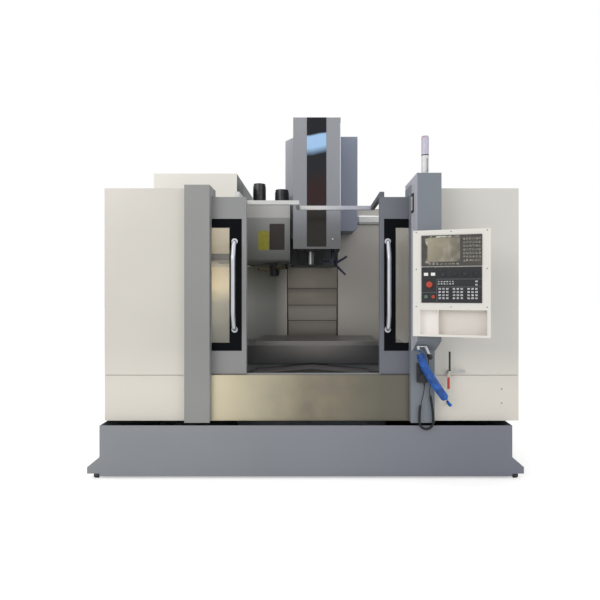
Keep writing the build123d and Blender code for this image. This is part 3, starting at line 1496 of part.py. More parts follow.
def screen_unit():
    """Screen housing with its bezel, soft keys and a keypad at the right."""
    u0, u1 = screen_u
    v0, v1 = screen_v
    body = face_block(u0, u1, v0, v1, 0, screen_proud)
    body += face_block(u0 + 6.3, u1 - 6.3, v0 + 6.3, v1 - 6.3, -unit_depth, 0)
    g0, g1 = screen_glass_u
    h0, h1 = screen_glass_v
    body -= face_block(g0, g1, h0, h1, screen_proud - 3, screen_proud + 1)
    key = 15.0
    for row in range(7):
        for place in range(6):
            u = g1 + 20 + place * 20
            v = v0 + 30 + row * 25
            body += face_block(u, u + key, v, v + key, screen_proud, screen_proud + 1.5)
    for place in range(8):
        u = g0 + 6 + place * 27
        body += face_block(u, u + 18, v0 + 10, v0 + 21, screen_proud, screen_proud + 1.5)
    return body


def key_row(u_start, count, pitch, v, width, height):
    top = operator_proud + 1.5
    keys = []
    for index in range(count):
        u = u_start + index * pitch
        keys.append(face_block(u - width / 2, u + width / 2, v - height / 2, v + height / 2,
                               operator_proud, top))
    return keys


def operator_panel():
    """Black panel with membrane keys, lamps, two fixed knobs and two square buttons."""
    u0, u1 = screen_u
    v0, v1 = operator_v
    body = face_block(u0, u1, v0, v1, 0, operator_proud)
    body += face_block(u0 + 6.3, u1 - 6.3, v0 + 6.3, v1 - 6.3, -40, 0)
    # Raised dividers between the button column, the knob strip and the key field
    body += face_block(u0 + 100, u0 + 103, v0 + 4, v1 - 4, operator_proud, operator_proud + 1)
    body += face_block(u0 + 103, u1 - 4, v1 - 84, v1 - 81, operator_proud, operator_proud + 1)
    for v in (387.0, 371.0):
        for key in key_row(178, 6, 19, v, 11, 8):
            body += key
    for v in (336.0, 314.0, 292.0, 271.0):
        for start, count in ((184, 3), (280, 3), (376, 3)):
            for key in key_row(start, count, 25.5, v, 16, 12):
                body += key
    for v in (387.0, 364.0):
        for key in key_row(427, 1, 25, v, 16, 11):
            body += key
    for u in (91.0, 139.0):
        body += face_block(u - 14.5, u + 14.5, feed_knob_uv[1] - 10.5, feed_knob_uv[1] + 10.5,
                           operator_proud, operator_proud + 5)
    for u in (285.0, 424.0):
        body += face_rod(u, feed_knob_uv[1], operator_proud, operator_proud + 18, knob_radius)
    body += face_rod(estop_uv[0], estop_uv[1], operator_proud, operator_proud + 2,
                     estop_radius + 8)
    bores = ((estop_uv, estop_stem_radius + seat_gap), (start_uv, button_radius + seat_gap),
             (stop_uv, button_radius + seat_gap), (feed_knob_uv, knob_stem_radius + shaft_gap),
             (spindle_knob_uv, knob_stem_radius + shaft_gap))
    for (u, v), radius in bores:
        body -= face_rod(u, v, -stem_length - estop_travel - 2, operator_proud + 3, radius)
    return body


def push_button(uv):
    return face_rod(uv[0], uv[1], -stem_length, operator_proud + 2 * button_travel,
                    button_radius)


def start_button():
    return push_button(start_uv)


def stop_button():
    return push_button(stop_uv)


def estop_button():
    """Mushroom head on a stem."""
    u, v = estop_uv
    body = face_rod(u, v, -stem_length, operator_proud + 10, estop_stem_radius)
    head = Cylinder(estop_radius, 16)
    head = fillet(head.edges().filter_by(GeomType.CIRCLE).sort_by(Axis.Z)[-1], 6)
    return body + frame * Pos(u, v, operator_proud + 10 + 8) * head


def override_knob(uv):
    """Fluted knob with a pointer rib, on a stem."""
    u, v = uv
    body = face_rod(u, v, -stem_length, operator_proud + 2, knob_stem_radius)
    knob = Cylinder(knob_radius, 18)
    for index in range(12):
        angle = 2 * math.pi * index / 12
        knob -= Pos(knob_radius * math.cos(angle), knob_radius * math.sin(angle), 0) * Cylinder(
            1.6, 20)
    knob += Pos(0, knob_radius / 2, 9.5) * Box(3, knob_radius, 1)
    return body + frame * Pos(u, v, operator_proud + 2 + 9) * knob


def feed_knob():
    return override_knob(feed_knob_uv)


def spindle_knob():
    return override_knob(spindle_knob_uv)


# Handwheel box, air gun, valve and their lines

def mpg_box():
    """Handheld pulse box hung on the post by its back hook, with two selector knobs."""
    x0, x1 = mpg_x
    z0, z1 = mpg_z
    y1 = post_front_y - seat_gap
    y0 = y1 - mpg_depth
    body = fillet(block(x0, x1, y0, y1, z0, z1).edges().filter_by(Axis.Z), 6)
    for x in (x0 + 20, x1 - 20):
        body += rod_y(x, y0 - 14, y0, z1 - 30, 11)
    center = (x0 + x1) / 2
    body += rod_y(center, y0 - 4, y0, z0 + 44, mpg_wheel_radius + 5)
    body -= rod_y(center, y0 - 5, y0 + 22, z0 + 44, mpg_stem_radius + shaft_gap)
    body += rod_z(mpg_gland_x, lead_y, z0 - mpg_gland, z0, mpg_lead_radius + 3)
    return body


def mpg_wheel():
    """Hand dial with a crank knob."""
    x0, x1 = mpg_x
    y0 = post_front_y - seat_gap - mpg_depth
    center = (x0 + x1) / 2
    z = mpg_z[0] + 44
    body = rod_y(center, y0 - 16, y0 - 4 - seat_gap, z, mpg_wheel_radius)
    body += rod_y(center, y0 - 5, y0 + 20, z, mpg_stem_radius)
    body += rod_y(center, y0 - 21, y0 - 16, z + mpg_wheel_radius - 9, 6)
    return body


def tube(points, radius, name):
    """A round tube along straight runs joined by tangent arcs, and its least bend radius."""
    vectors = [Vector(*point) for point in points]
    radii = []
    for a, b, c in zip(vectors, vectors[1:], vectors[2:]):
        turn = math.radians((b - a).get_angle(c - b))
        radii.append(0.45 * min((b - a).length, (c - b).length) / math.tan(turn / 2))
    path = FilletPolyline(*points, radius=radii)
    start = Plane(origin=path @ 0, z_dir=path % 0)
    body = sweep(start * Circle(radius), path=path)
    section = math.pi * radius * radius * path.length
    print(name, "radii", [round(value) for value in radii], "length", round(path.length),
          "volume ratio", round(body.volume / section, 4))
    return body


def mpg_lead_lower():
    """Plain lead from the gland of the handheld box to the first curl."""
    return tube(lead_lower_points, mpg_lead_radius, "mpg_lead_lower")


def mpg_curl():
    return tube(curl_points, mpg_curl_radius, "mpg_curl")


def mpg_lead_upper():
    """Plain lead from the last curl up to the gland under the pendant box."""
    return tube(lead_upper_points, mpg_lead_radius, "mpg_lead_upper")


def air_hose():
    """Outer shape of the coiled hose between the wall outlet and the blow gun."""
    return tube(hose_points, hose_coil_radius, "air_hose")


def air_gun():
    """Blow gun hung on a hook under the swing box, with its inlet on the hose."""
    x, y, z = hose_points[0]
    top = Vector(x + 57, y + 12, z + 14)
    tip = Vector(x + 88, y + 22, z - 54)
    run = tip - top
    along = Plane(origin=top, z_dir=run.normalized())
    body = along * Pos(0, 0, run.length / 2) * Cylinder(12, run.length)
    body += along * Pos(0, 0, run.length) * Cylinder(19, 34)
    body += along * Pos(0, 0, run.length + 20) * Cylinder(8, 12)
    back = (Vector(x, y, z) - Vector(*hose_points[1])).normalized()
    body += Plane(origin=(x, y, z), z_dir=back) * Pos(0, 0, 13) * Cylinder(10, 26)
    body += rod_x(x - 6, x + 57, y, z + 22, 6)
    # The hook ends against the sloping underside
    body += block(x + 50, x + 62, y, y + 18, z + 8, slope_z(y + 18))
    return body


def air_valve():
    """Ball valve with a long and a short lever, its stub pipe, and the hose outlet."""
    x, z = valve_xz
    y = panel_y - 34
    valve = rod_z(x, y, z - 24, z + 24, 15)
    valve += rod_y(x, y - 24, panel_y, z, 10)
    valve += rod_x(x, x + valve_pipe_reach + 10, y, z + 16, 8)
    valve += rod_y(x + valve_pipe_reach, y, panel_y, z + 16, 6)
    valve += block(x - 6, x + 8, y - 24, y - 18, z - 8, z + valve_lever_rise)
    valve += block(x - 17, x + 1, y - 24, y - 18, z - valve_grip_drop, z)
    end = Vector(*hose_points[-1])
    run = (end - Vector(*hose_points[-2])).normalized()
    elbow = end + run * 40
    outlet = rod_y(elbow.X, elbow.Y, panel_y, elbow.Z, 11)
    outlet += Plane(origin=end, z_dir=run) * Pos(0, 0, 20) * Cylinder(9, 40)
    outlet += Pos(elbow.X, elbow.Y, elbow.Z) * Sphere(14)
    return group(valve, outlet)


# Every node, then the shift to the middle of the floor print, and the files

rigid_nodes = (
    bed, leveling_feet, coolant_tank, tank_casters, column, axis_drives, front_panels, left_post,
    right_post, front_plate, top_frame, side_panels, magazine_cover, splash_pan, z_cover_base,
    y_cover_front, electrical_cabinet, cabinet_door, signal_lamp, work_lamp, atc_housing,
    atc_unit, atc_shaft, atc_arm, tool_disc, saddle, x_drive, y_cover_mid, table, table_guards,
    head, spindle, head_cover, head_strip, z_cover_top, z_cover_upper, z_cover_lower,
    coolant_nozzles, left_door, left_window, left_handle, right_door, right_window,
    right_handle, pendant_box, operator_panel, screen_unit, estop_button, start_button,
    stop_button, feed_knob, spindle_knob, mpg_box, mpg_wheel, air_gun, air_valve)
cord_nodes = (mpg_lead_lower, mpg_curl, mpg_lead_upper, air_hose)

rigid = {make.__name__: make() for make in rigid_nodes}
cords = {make.__name__: make() for make in cord_nodes}
boxes = [shape.bounding_box() for shape in rigid.values()]
middle_x = (min(box.min.X for box in boxes) + max(box.max.X for box in boxes)) / 2
middle_y = (min(box.min.Y for box in boxes) + max(box.max.Y for box in boxes)) / 2
print("shift", -middle_x, -middle_y)

os.makedirs("parts", exist_ok=True)
for name, shape in {**rigid, **cords}.items():
    export_step(Pos(-middle_x, -middle_y, 0) * shape, f"parts/{name}.step")
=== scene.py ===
import math
import bpy
import bmesh
from mathutils import Matrix, Vector


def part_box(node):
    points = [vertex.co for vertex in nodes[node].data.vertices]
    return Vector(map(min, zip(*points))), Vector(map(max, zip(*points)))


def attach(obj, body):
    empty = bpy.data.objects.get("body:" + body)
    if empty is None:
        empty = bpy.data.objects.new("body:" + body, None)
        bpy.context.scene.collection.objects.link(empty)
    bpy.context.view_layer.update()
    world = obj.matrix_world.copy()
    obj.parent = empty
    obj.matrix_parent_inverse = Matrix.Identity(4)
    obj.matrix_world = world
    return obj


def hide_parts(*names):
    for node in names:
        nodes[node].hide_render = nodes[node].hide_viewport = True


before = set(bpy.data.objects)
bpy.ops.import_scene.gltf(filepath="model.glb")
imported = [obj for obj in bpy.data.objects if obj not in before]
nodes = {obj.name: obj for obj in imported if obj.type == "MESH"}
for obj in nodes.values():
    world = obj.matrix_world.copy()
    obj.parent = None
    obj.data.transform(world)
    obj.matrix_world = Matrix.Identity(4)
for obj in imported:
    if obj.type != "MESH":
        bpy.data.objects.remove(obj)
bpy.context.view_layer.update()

# Layout coordinates in mm: X from the middle of the column, Y from the front sheet, Z up
PANELS_CORNER = Vector((-1.613, 0.0, 0.43))
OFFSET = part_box("front_panels")[0] - PANELS_CORNER


def at(x, y, z):
    """A point of the layout, in the frame and in metres."""
    return OFFSET + Vector((x, y, z)) / 1000


# Camera at the photograph's viewpoint
camera = bpy.data.objects.new("camera", bpy.data.cameras.new("camera"))
bpy.context.scene.collection.objects.link(camera)
camera.location = at(30, -3560, 1434)
camera.rotation_euler = (math.radians(90), 0, 0)
camera.data.sensor_width = 36
camera.data.lens = 27.36
camera.data.shift_x = -0.025
camera.data.shift_y = -0.0133
bpy.context.scene.camera = camera
bpy.context.scene.view_settings.view_transform = "Standard"


# Helpers for materials

def tone(code):
    """A six-digit screen colour as linear light."""
    parts = [int(code[i:i + 2], 16) / 255 for i in (0, 2, 4)]
    linear = [c / 12.92 if c <= 0.04045 else ((c + 0.055) / 1.055) ** 2.4 for c in parts]
    return (*linear, 1.0)


class Finish:
    """A procedural material in frame coordinates."""

    def __init__(self, name):
        self.material = bpy.data.materials.new(name)
        self.material.use_nodes = True
        self.tree = self.material.node_tree
        self.shader = self.tree.nodes["Principled BSDF"]
        self.place = self.node("ShaderNodeTexCoord").outputs["Object"]
        self.x, self.y, self.z = self.axes(self.place)

    def node(self, kind, **settings):
        made = self.tree.nodes.new(kind)
        for key, value in settings.items():
            setattr(made, key, value)
        return made

    def put(self, source, socket):
        """Link a socket, or set a plain value."""
        if isinstance(source, bpy.types.NodeSocket):
            self.tree.links.new(source, socket)
        else:
            socket.default_value = source

    def math(self, operation, a, b=0.0):
        made = self.node("ShaderNodeMath", operation=operation)
        self.put(a, made.inputs[0])
        self.put(b, made.inputs[1])
        return made.outputs[0]

    def times(self, a, b):
        return self.math("MULTIPLY", a, b)

    def plus(self, a, b):
        return self.math("ADD", a, b)

    def minus(self, a, b):
        return self.math("SUBTRACT", a, b)

    def above(self, value, reflection_level):
        return self.math("GREATER_THAN", value, reflection_level)

    def below(self, value, reflection_level):
        return self.math("LESS_THAN", value, reflection_level)

    def distance(self, value, middle):
        return self.math("ABSOLUTE", self.minus(value, middle))

    def vector(self, operation, a, b=(0.0, 0.0, 0.0)):
        made = self.node("ShaderNodeVectorMath", operation=operation)
        self.put(a, made.inputs[0])
        self.put(b, made.inputs[1])
        return made.outputs[0]

    def axes(self, vector):
        made = self.node("ShaderNodeSeparateXYZ")
        self.put(vector, made.inputs[0])
        return made.outputs

    def turned(self, origin, angle):
        """Coordinates in a frame turned about Z at an origin."""
        made = self.node("ShaderNodeMapping", vector_type="TEXTURE")
        self.put(self.place, made.inputs["Vector"])
        made.inputs["Location"].default_value = origin
        made.inputs["Rotation"].default_value = (0, 0, angle)
        return made.outputs[0]

    def noise(self, size, detail=3.0, stretch=(1, 1, 1)):
        """Cloudy noise with features about this many metres wide."""
        made = self.node("ShaderNodeTexNoise")
        scaled = self.vector("MULTIPLY", self.place, tuple(1 / (size * s) for s in stretch))
        self.put(scaled, made.inputs["Vector"])
        made.inputs["Scale"].default_value = 1.0
        made.inputs["Detail"].default_value = detail
        return made.outputs["Fac"]

    def ramp(self, value, a, b, low=0.0, high=1.0):
        """From low to high while the value goes from a to b."""
        made = self.node("ShaderNodeMapRange")
        self.put(value, made.inputs["Value"])
        for name, number in (("From Min", a), ("From Max", b), ("To Min", low), ("To Max", high)):
            made.inputs[name].default_value = number
        return made.outputs["Result"]

    def mix(self, mask, a, b):
        """Colour a where the mask is zero and colour b where it is one."""
        made = self.node("ShaderNodeMix", data_type="RGBA")
        self.put(mask, made.inputs[0])
        self.put(a, made.inputs[6])
        self.put(b, made.inputs[7])
        return made.outputs[2]

    def inside(self, low, high, place=None):
        """One inside the box between two corners, in metres, and zero outside."""
        low, high = Vector(low), Vector(high)
        moved = self.vector("SUBTRACT", place or self.place, (low + high) / 2)
        outer = self.vector("SUBTRACT", self.vector("ABSOLUTE", moved), (high - low) / 2)
        x, y, z = self.axes(outer)
        return self.below(self.math("MAXIMUM", self.math("MAXIMUM", x, y), z), 0.0)

    def block(self, low, high):
        """One inside the box between two layout corners, in mm."""
        return self.inside(at(*low), at(*high))

    def either(self, *masks):
        """The largest of some masks."""
        total = masks[0]
        for mask in masks[1:]:
            total = self.math("MAXIMUM", total, mask)
        return total

    def set(self, name, source):
        self.put(source, self.shader.inputs[name])

    def color(self, source):
        """Set the base colour, and keep it so that masks can lay others over it."""
        self.base = source
        self.set("Base Color", source)

    def over(self, mask, top):
        """Lay a screen colour or a socket over the base where the mask is one."""
        self.color(self.mix(mask, self.base, tone(top) if isinstance(top, str) else top))

    def rough(self, source):
        self.set("Roughness", source)

    def bump(self, height, strength, distance):
        made = self.node("ShaderNodeBump")
        made.inputs["Strength"].default_value = strength
        made.inputs["Distance"].default_value = distance
        self.put(height, made.inputs["Height"])
        self.set("Normal", made.outputs[0])

    def give(self, *names):
        """Put the material on CAD nodes."""
        for name in names:
            data = nodes[name].data
            data.materials.clear()
            data.materials.append(self.material)


def painted(name, light, dark, rough=0.42, size=0.9):
    """Powder-coated sheet: slow drift of tone, a fine orange peel and slight wear in gloss."""
    made = Finish(name)
    cloud = made.noise(size, 2.0)
    made.color(made.mix(made.ramp(cloud, 0.3, 0.7), tone(dark), tone(light)))
    made.rough(made.ramp(made.noise(size / 6), 0.2, 0.8, rough - 0.06, rough + 0.08))
    made.bump(made.noise(0.0014, 2.0), 0.12, 0.0002)
    return made


def brushed(name, light, dark, rough, stretch, metal=1.0):
    """Bare sheet metal with brushing lines along the long direction of the stretch."""
    made = Finish(name)
    lines = made.noise(0.0012, 3.0, stretch)
    cloud = made.noise(0.5, 2.0)
    both = made.plus(made.times(lines, 0.35), made.times(cloud, 0.65))
    made.color(made.mix(made.ramp(both, 0.35, 0.65), tone(dark), tone(light)))
    made.set("Metallic", metal)
    made.rough(made.ramp(lines, 0.3, 0.7, rough - 0.05, rough + 0.09))
    made.bump(lines, 0.08, 0.0001)
    return made


def moulded(name, light, dark, rough):
    """Moulded plastic or rubber with a fine spark-eroded grain."""
    made = Finish(name)
    made.color(made.mix(made.ramp(made.noise(0.05), 0.3, 0.7), tone(dark), tone(light)))
    made.rough(made.ramp(made.noise(0.02), 0.2, 0.8, rough - 0.05, rough + 0.07))
    made.bump(made.noise(0.0006, 2.0), 0.2, 0.00015)
    return made


def casting(name, light, dark):
    """Painted casting with a coarse skin."""
    made = painted(name, light, dark, 0.55, 0.4)
    made.bump(made.noise(0.006, 3.0), 0.35, 0.0008)
    return made


# Helpers for pieces

def piece(name, data, finish, body="machine"):
    """A new piece with a finish and a slot, riding on a body."""
    made = bpy.data.objects.new(name, data)
    bpy.context.scene.collection.objects.link(made)
    data.materials.append(finish.material)
    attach(made, body)
    return made


def mesh_from(work, name):
    """A mesh of the work, smooth but for edges sharper than 35 degrees."""
    data = bpy.data.meshes.new(name)
    bmesh.ops.recalc_face_normals(work, faces=work.faces)
    work.to_mesh(data)
    work.free()
    data.shade_smooth()
    data.set_sharp_from_angle(angle=math.radians(35))
    return data


def add_ring_solid(work, profile, place, steps):
    """Turn a profile of (radius, height) points in mm about Z and set it at a place."""
    rings = []
    for radius, height in profile:
        ring = []
        for index in range(steps):
            angle = 2 * math.pi * index / steps
            point = Vector((radius * math.cos(angle), radius * math.sin(angle), height)) / 1000
            ring.append(work.verts.new(place @ point))
        rings.append(ring)
    for low, high in zip(rings, rings[1:]):
        for index in range(steps):
            after = (index + 1) % steps
            work.faces.new((low[index], low[after], high[after], high[index]))
    work.faces.new(rings[0][::-1])
    work.faces.new(rings[-1])


def add_plate(work, low, high, place, bevel):
    """A box in mm with softened edges."""
    low, high = Vector(low), Vector(high)
    scale = Matrix.Diagonal(((high - low) / 1000).to_4d())
    middle = Matrix.Translation((low + high) / 2000)
    made = bmesh.ops.create_cube(work, size=1.0, matrix=place @ middle @ scale)
    edges = {edge for vert in made["verts"] for edge in vert.link_edges}
    bmesh.ops.bevel(work, geom=list(edges), offset=bevel / 1000, segments=2, affect="EDGES",
                    profile=0.6)


def facing(point, direction):
    """A place at a point with its Z axis along a direction."""
    turn = Vector(direction).normalized().to_track_quat("Z", "Y").to_matrix().to_4x4()
    return Matrix.Translation(point) @ turn


# A socket-head screw: washer, head with a hexagonal recess shown by its inner ring
SCREW = ((5.2, 0), (5.2, 0.6), (4.4, 0.7), (4.4, 2.6), (3.9, 3.2), (2.2, 3.2), (2.1, 1.2),
         (0.2, 1.1))


def screws(name, points, direction, finish, body="machine", size=1.0):
    """Screws of a size, at layout points, as one piece."""
    work = bmesh.new()
    for point in points:
        profile = [(r * size, h * size) for r, h in SCREW]
        add_ring_solid(work, profile, facing(at(*point), direction), 12)
    return piece(name, mesh_from(work, name), finish, body)


# Cords

STEPS_PER_TURN = 12
STEPS_PER_LEAD_POINT = 6


def spline_object(name, points, radius=0.0):
    """A NURBS curve whose control points are the given ones, in metres."""
    data = bpy.data.curves.new(name, "CURVE")
    data.dimensions = "3D"
    data.resolution_u = 6
    data.bevel_depth = radius
    data.bevel_resolution = 3
    data.use_fill_caps = True
    line = data.splines.new("NURBS")
    line.points.add(len(points) - 1)
    for target, point in zip(line.points, points):
        target.co = (*point, 1.0)
    line.order_u = 3
    line.use_endpoint_u = True
    made = bpy.data.objects.new(name, data)
    bpy.context.scene.collection.objects.link(made)
    return made


def route_line(route):
    """Dense points along the NURBS line of a route."""
    probe = spline_object("probe", route)
    probe.data.resolution_u = 48
    bpy.context.view_layer.update()
    seen = probe.evaluated_get(bpy.context.evaluated_depsgraph_get())
    data = bpy.data.meshes.new_from_object(seen)
    line = [vert.co.copy() for vert in data.vertices]
    bpy.data.meshes.remove(data)
    bpy.data.objects.remove(probe)
    return line


def helix(route, radius, pitch, ramp, lead_in=0.0, lead_out=0.0):
    """Control points of a coil round the NURBS line of a route, plain over its two leads."""
    line = route_line(route)
    lengths = [0.0]
    for a, b in zip(line, line[1:]):
        lengths.append(lengths[-1] + (b - a).length)
    total = lengths[-1]
    finish = total - lead_out
    count = round(total / pitch * STEPS_PER_TURN)
    side = Vector((0, 1, 0))
    points = []
    index = 0
    angle = 0.0
    for step in range(count + 1):
        along = total * step / count
        while index < len(line) - 2 and lengths[index + 1] < along:
            index += 1
        share = (along - lengths[index]) / max(lengths[index + 1] - lengths[index], 1e-9)
        centre = line[index].lerp(line[index + 1], share)
        tangent = (line[index + 1] - line[index]).normalized()
        side = (side - tangent * side.dot(tangent)).normalized()
        cross = tangent.cross(side)
        # The coil opens over the ramp, and a plain lead needs fewer points
        open_share = max(0.0, min(1.0, (along - lead_in) / ramp, (finish - along) / ramp))
        reach = radius * open_share ** 2 * (3 - 2 * open_share)
        if open_share > 0.0 or step % STEPS_PER_LEAD_POINT == 0:
            points.append(centre + (side * math.cos(angle) + cross * math.sin(angle)) * reach)
        angle += 2 * math.pi / STEPS_PER_TURN * open_share ** 2
    return points


def tapered_relief(name, start, direction, length, wide, narrow, finish):
    """Ribbed sleeve that stiffens a lead where it leaves a housing."""
    profile = [(wide * 0.9, -1.0), (wide, 0.5)]
    count = 5
    for index in range(count):
        share = index / count
        radius = wide + (narrow - wide) * share
        start_z = length * (index + 0.25) / (count + 0.5)
        profile += [(radius, start_z), (radius * 0.86, start_z + 0.6),
                    (radius * 0.86, start_z + 1.6), (radius * 0.96, start_z + 2.2)]
    profile.append((narrow, length))
    work = bmesh.new()
    add_ring_solid(work, profile, facing(start, direction), 20)
    return piece(name, mesh_from(work, name), finish)


# Finishes of the machine's panels and castings

# White sheet, with painted light: a little lighter and cooler towards the right, lighter towards
# the floor, and on the changer cover a painted lighter top, painted warm light on its front and
# painted shade on its lip and side
white = painted("white_paint", "d4d0c8", "cdc9c1")
fade = white.ramp(white.x, -1.2, 1.2)
white.over(white.times(fade, 0.8), "d5d4cf")
low = white.ramp(white.z, 1.0, 0.7)
white.over(white.times(low, 0.7), "e3ddd2")
# Changer cover: painted light on its top and front, painted shade on its lower lip and right side
changer_top_light = white.ramp(white.z, 2.246, 2.25)
white.over(changer_top_light, "eeebe3")
changer_front_light = white.block((-1492, 735, 1740), (-705, 750, 2244))
white.over(changer_front_light, "fbeccb")
changer_lip_shade = white.block((-1492, 735, 1725), (-705, 750, 1796))
white.over(changer_lip_shade, "5f5c52")
changer_side_shade = white.block((-711, 745, 1700), (-700, 1860, 2549))
white.over(changer_side_shade, "4f5451")
white.give("front_panels", "side_panels", "magazine_cover")

# Grey sheet, with painted shade cooler and darker towards the right, and painted light on the left
# face of the swing box
grey = painted("grey_paint", "929392", "888988")
cool = grey.ramp(grey.x, 0.2, 0.8)
grey.over(cool, "798088")
box_side_light = grey.block((770, -222, 985), (779, 215, 2310))
grey.over(box_side_light, "b4b4be")
grey.give("left_post", "right_post", "electrical_cabinet", "cabinet_door")

# Tank, with painted shade bluer and darker towards the right, and black wheels
tank = painted("tank_paint", "8e9297", "878b90", 0.36)
tank_shade_right = tank.ramp(tank.x, -1.0, 1.3)
tank.over(tank_shade_right, "787b86")
wheels = tank.ramp(tank.z, 0.037, 0.035)
outer_x = tank.distance(tank.x, 0.003)
wheels = tank.times(wheels, tank.above(outer_x, 1.587))
tank.over(wheels, "232326")
tank.give("coolant_tank", "tank_casters")

cast = casting("cast_paint", "8d9293", "7d8283")
# Painted shade on the castings in the gap round the floor covers
gable = cast.block((-560, 400, 610), (560, 957, 740))
cast.over(gable, "4d4a4b")
cast.give("bed", "column", "saddle")
# Head casting, painted darker than the other castings as painted shade under the head cover
shaded_head_cast = casting("head_cast", "54585a", "44484a")
shaded_head_cast.give("head")

# Head covers: darker towards the bottom, painted light on the left face of the rear cover, a
# painted highlight along the front cover's right edge, and painted shade, bluish, on the right
# side
cover = painted("cover_paint", "97999f", "8e9199", 0.38)
cover.over(cover.ramp(cover.z, 2.25, 1.95), "757678")
cover.over(cover.block((-300, 1440, 2000), (-189, 1770, 3150)), "b2b2ba")
cover.over(cover.block((280, 985, 2290), (288, 1000, 3120)), "dfe3ea")
side_panel = cover.ramp(cover.x, 0.34, 0.345)
cover.over(side_panel, "8b93a5")
cover.give("head_cover")

beam = painted("beam_paint", "dddddc", "cfd0d0")
# Painted shade, bluish, towards the right
bluish_shade_right = beam.ramp(beam.x, 0.1, 0.35)
beam.over(bluish_shade_right, "b9bcc8")
front_rail = beam.block((540, 60, 2190), (586, 656, 2240))
beam.over(front_rail, "63666c")
tracks = beam.below(beam.z, 2.185)
beam.over(tracks, "8b8e90")
beam.give("top_frame")

door = painted("door_paint", "8f8f90", "868787")
# Painted shade, cooler and darker towards the right
cool = door.ramp(door.x, -0.2, 0.6)
door.over(cool, "6c6f78")
door.give("left_door", "right_door")

# Dark polished strip down the head cover, its bands painted reflections: warmer in its middle,
# cooler above, with a pale blue painted highlight
strip = Finish("strip_steel")
cloud = strip.noise(0.25, 2.0, (1, 1, 2.5))
reflection_level = strip.plus(strip.z, strip.ramp(cloud, 0.0, 1.0, -0.03, 0.03))
reflection_level = strip.minus(reflection_level, strip.times(strip.x, 0.12))
strip.color(strip.mix(strip.ramp(reflection_level, 2.2, 2.36), tone("2b2823"), tone("301817")))
strip.over(strip.ramp(reflection_level, 2.45, 2.66), "1b1d24")
strip.over(strip.ramp(reflection_level, 2.79, 2.87), "a8cdf4")
strip.over(strip.ramp(reflection_level, 2.985, 3.005), "16181f")
strip.set("Metallic", 0.0)
strip.set("Specular IOR Level", 0.25)
strip.rough(strip.ramp(strip.noise(0.0015, 3.0, (1, 1, 60)), 0.2, 0.8, 0.16, 0.3))
strip.give("head_strip")

# Bare steel, wear polished along its length, with the three servo motors painted dark
steel = brushed("ground_steel", "b4b6b8", "8f9294", 0.22, (1, 90, 1))
motors = steel.either(steel.block((-100, 1800, 2616), (100, 2000, 3000)),
                      steel.block((-100, 60, 480), (100, 359, 700)),
                      steel.block((-1200, 1120, 610), (-861, 1300, 790)))
steel.over(motors, "2f3135")
steel.set("Metallic", steel.minus(1.0, motors))
steel.give("axis_drives", "x_drive", "spindle", "leveling_feet")

arm = brushed("arm_steel", "55585a", "3c3f41", 0.36, (12, 12, 1), 0.7)
arm.give("tool_disc")
black_oxide = brushed("black_oxide", "2a2b2d", "1c1d1f", 0.34, (12, 12, 1), 0.6)
black_oxide.give("atc_arm", "atc_shaft")

# Stainless front plate: its dark olive tone is a painted reflection of a grey floor, with soft
# blotches, a painted highlight on the left and painted shade towards the right
front = brushed("front_steel", "8c8577", "7b7568", 0.34, (1, 1, 90), 0.7)
painted_highlight_left = front.ramp(front.plus(front.x, front.times(front.noise(0.4, 2.0), 0.25)), 0.12, -0.6)
front.over(front.ramp(front.noise(0.16, 2.0), 0.35, 0.75), "938a76")
front.over(painted_highlight_left, "dcd2b6")
painted_shade_right = front.ramp(front.x, 0.1, 0.6)
front.over(painted_shade_right, "6f6c62")
front.give("front_plate")

# Way covers: a dark seam at each joint of the plates, in a soft band of shade
covers = brushed("way_cover_steel", "8f897f", "7d7870", 0.36, (90, 1, 1), 0.75)
COVER_JOINTS = (1.4735, 1.2795, 1.0975)
SHADE_DROP = 0.0135
seams = [covers.below(covers.distance(covers.z, z), 0.0035) for z in COVER_JOINTS]
wide = [covers.ramp(covers.distance(covers.z, z - SHADE_DROP), 0.0, 0.05)
        for z in COVER_JOINTS]
soft = covers.math("MINIMUM", covers.math("MINIMUM", wide[0], wide[1]), wide[2])
covers.color(covers.mix(soft, tone("756f69"), covers.base))
lower = covers.times(covers.ramp(covers.z, 1.32, 1.24), 0.32)
covers.over(lower, "b5aeaa")
covers.over(covers.either(*seams), "3b3431")
covers.give("z_cover_base", "z_cover_top", "z_cover_upper", "z_cover_lower")

gables = brushed("floor_cover_steel", "353331", "292826", 0.5, (1, 90, 1), 0.3)
gables.set("Specular IOR Level", 0.25)
gables.give("y_cover_front", "y_cover_mid")

# Enclosure lining: pale on the right and lighter below, painted shade darker above on the left,
# and painted shade in the gutter
# The wall that shows through the left window is pale with painted light above and grey with
# painted shade below
inner = brushed("lining_sheet", "bab7b2", "aeaba6", 0.42, (1, 1, 60), 0.4)
inner.over(inner.ramp(inner.z, 1.9, 1.2), "d2cfc8")
lining_shade_left = inner.mix(inner.ramp(inner.z, 1.75, 1.3), tone("55564f"), tone("8e8f8d"))
inner.over(inner.ramp(inner.x, -0.2, -0.4), lining_shade_left)
corner = inner.inside((-2.0, -1.0, 0.0), (-0.857, at(0, 1852, 0).y, 3.0))
far_wall_light = inner.mix(inner.ramp(inner.z, 1.5, 1.3), tone("f3e4c2"), tone("a09f94"))
inner.over(corner, far_wall_light)
gutter_shade = inner.ramp(inner.z, 0.64, 0.6)
inner.over(gutter_shade, "55534f")
inner.give("splash_pan")

# Table: ground top and dark sides
table = brushed("table_iron", "a5a4a5", "949395", 0.34, (60, 1, 1), 0.8)
table_face = table.ramp(table.y, at(0, 914, 0).y, at(0, 911, 0).y)
table.color(table.mix(table_face, tone("6f6c6c"), tone("979492")))
table.give("table")
guard = painted("guard_paint", "525357", "47474c", 0.4)
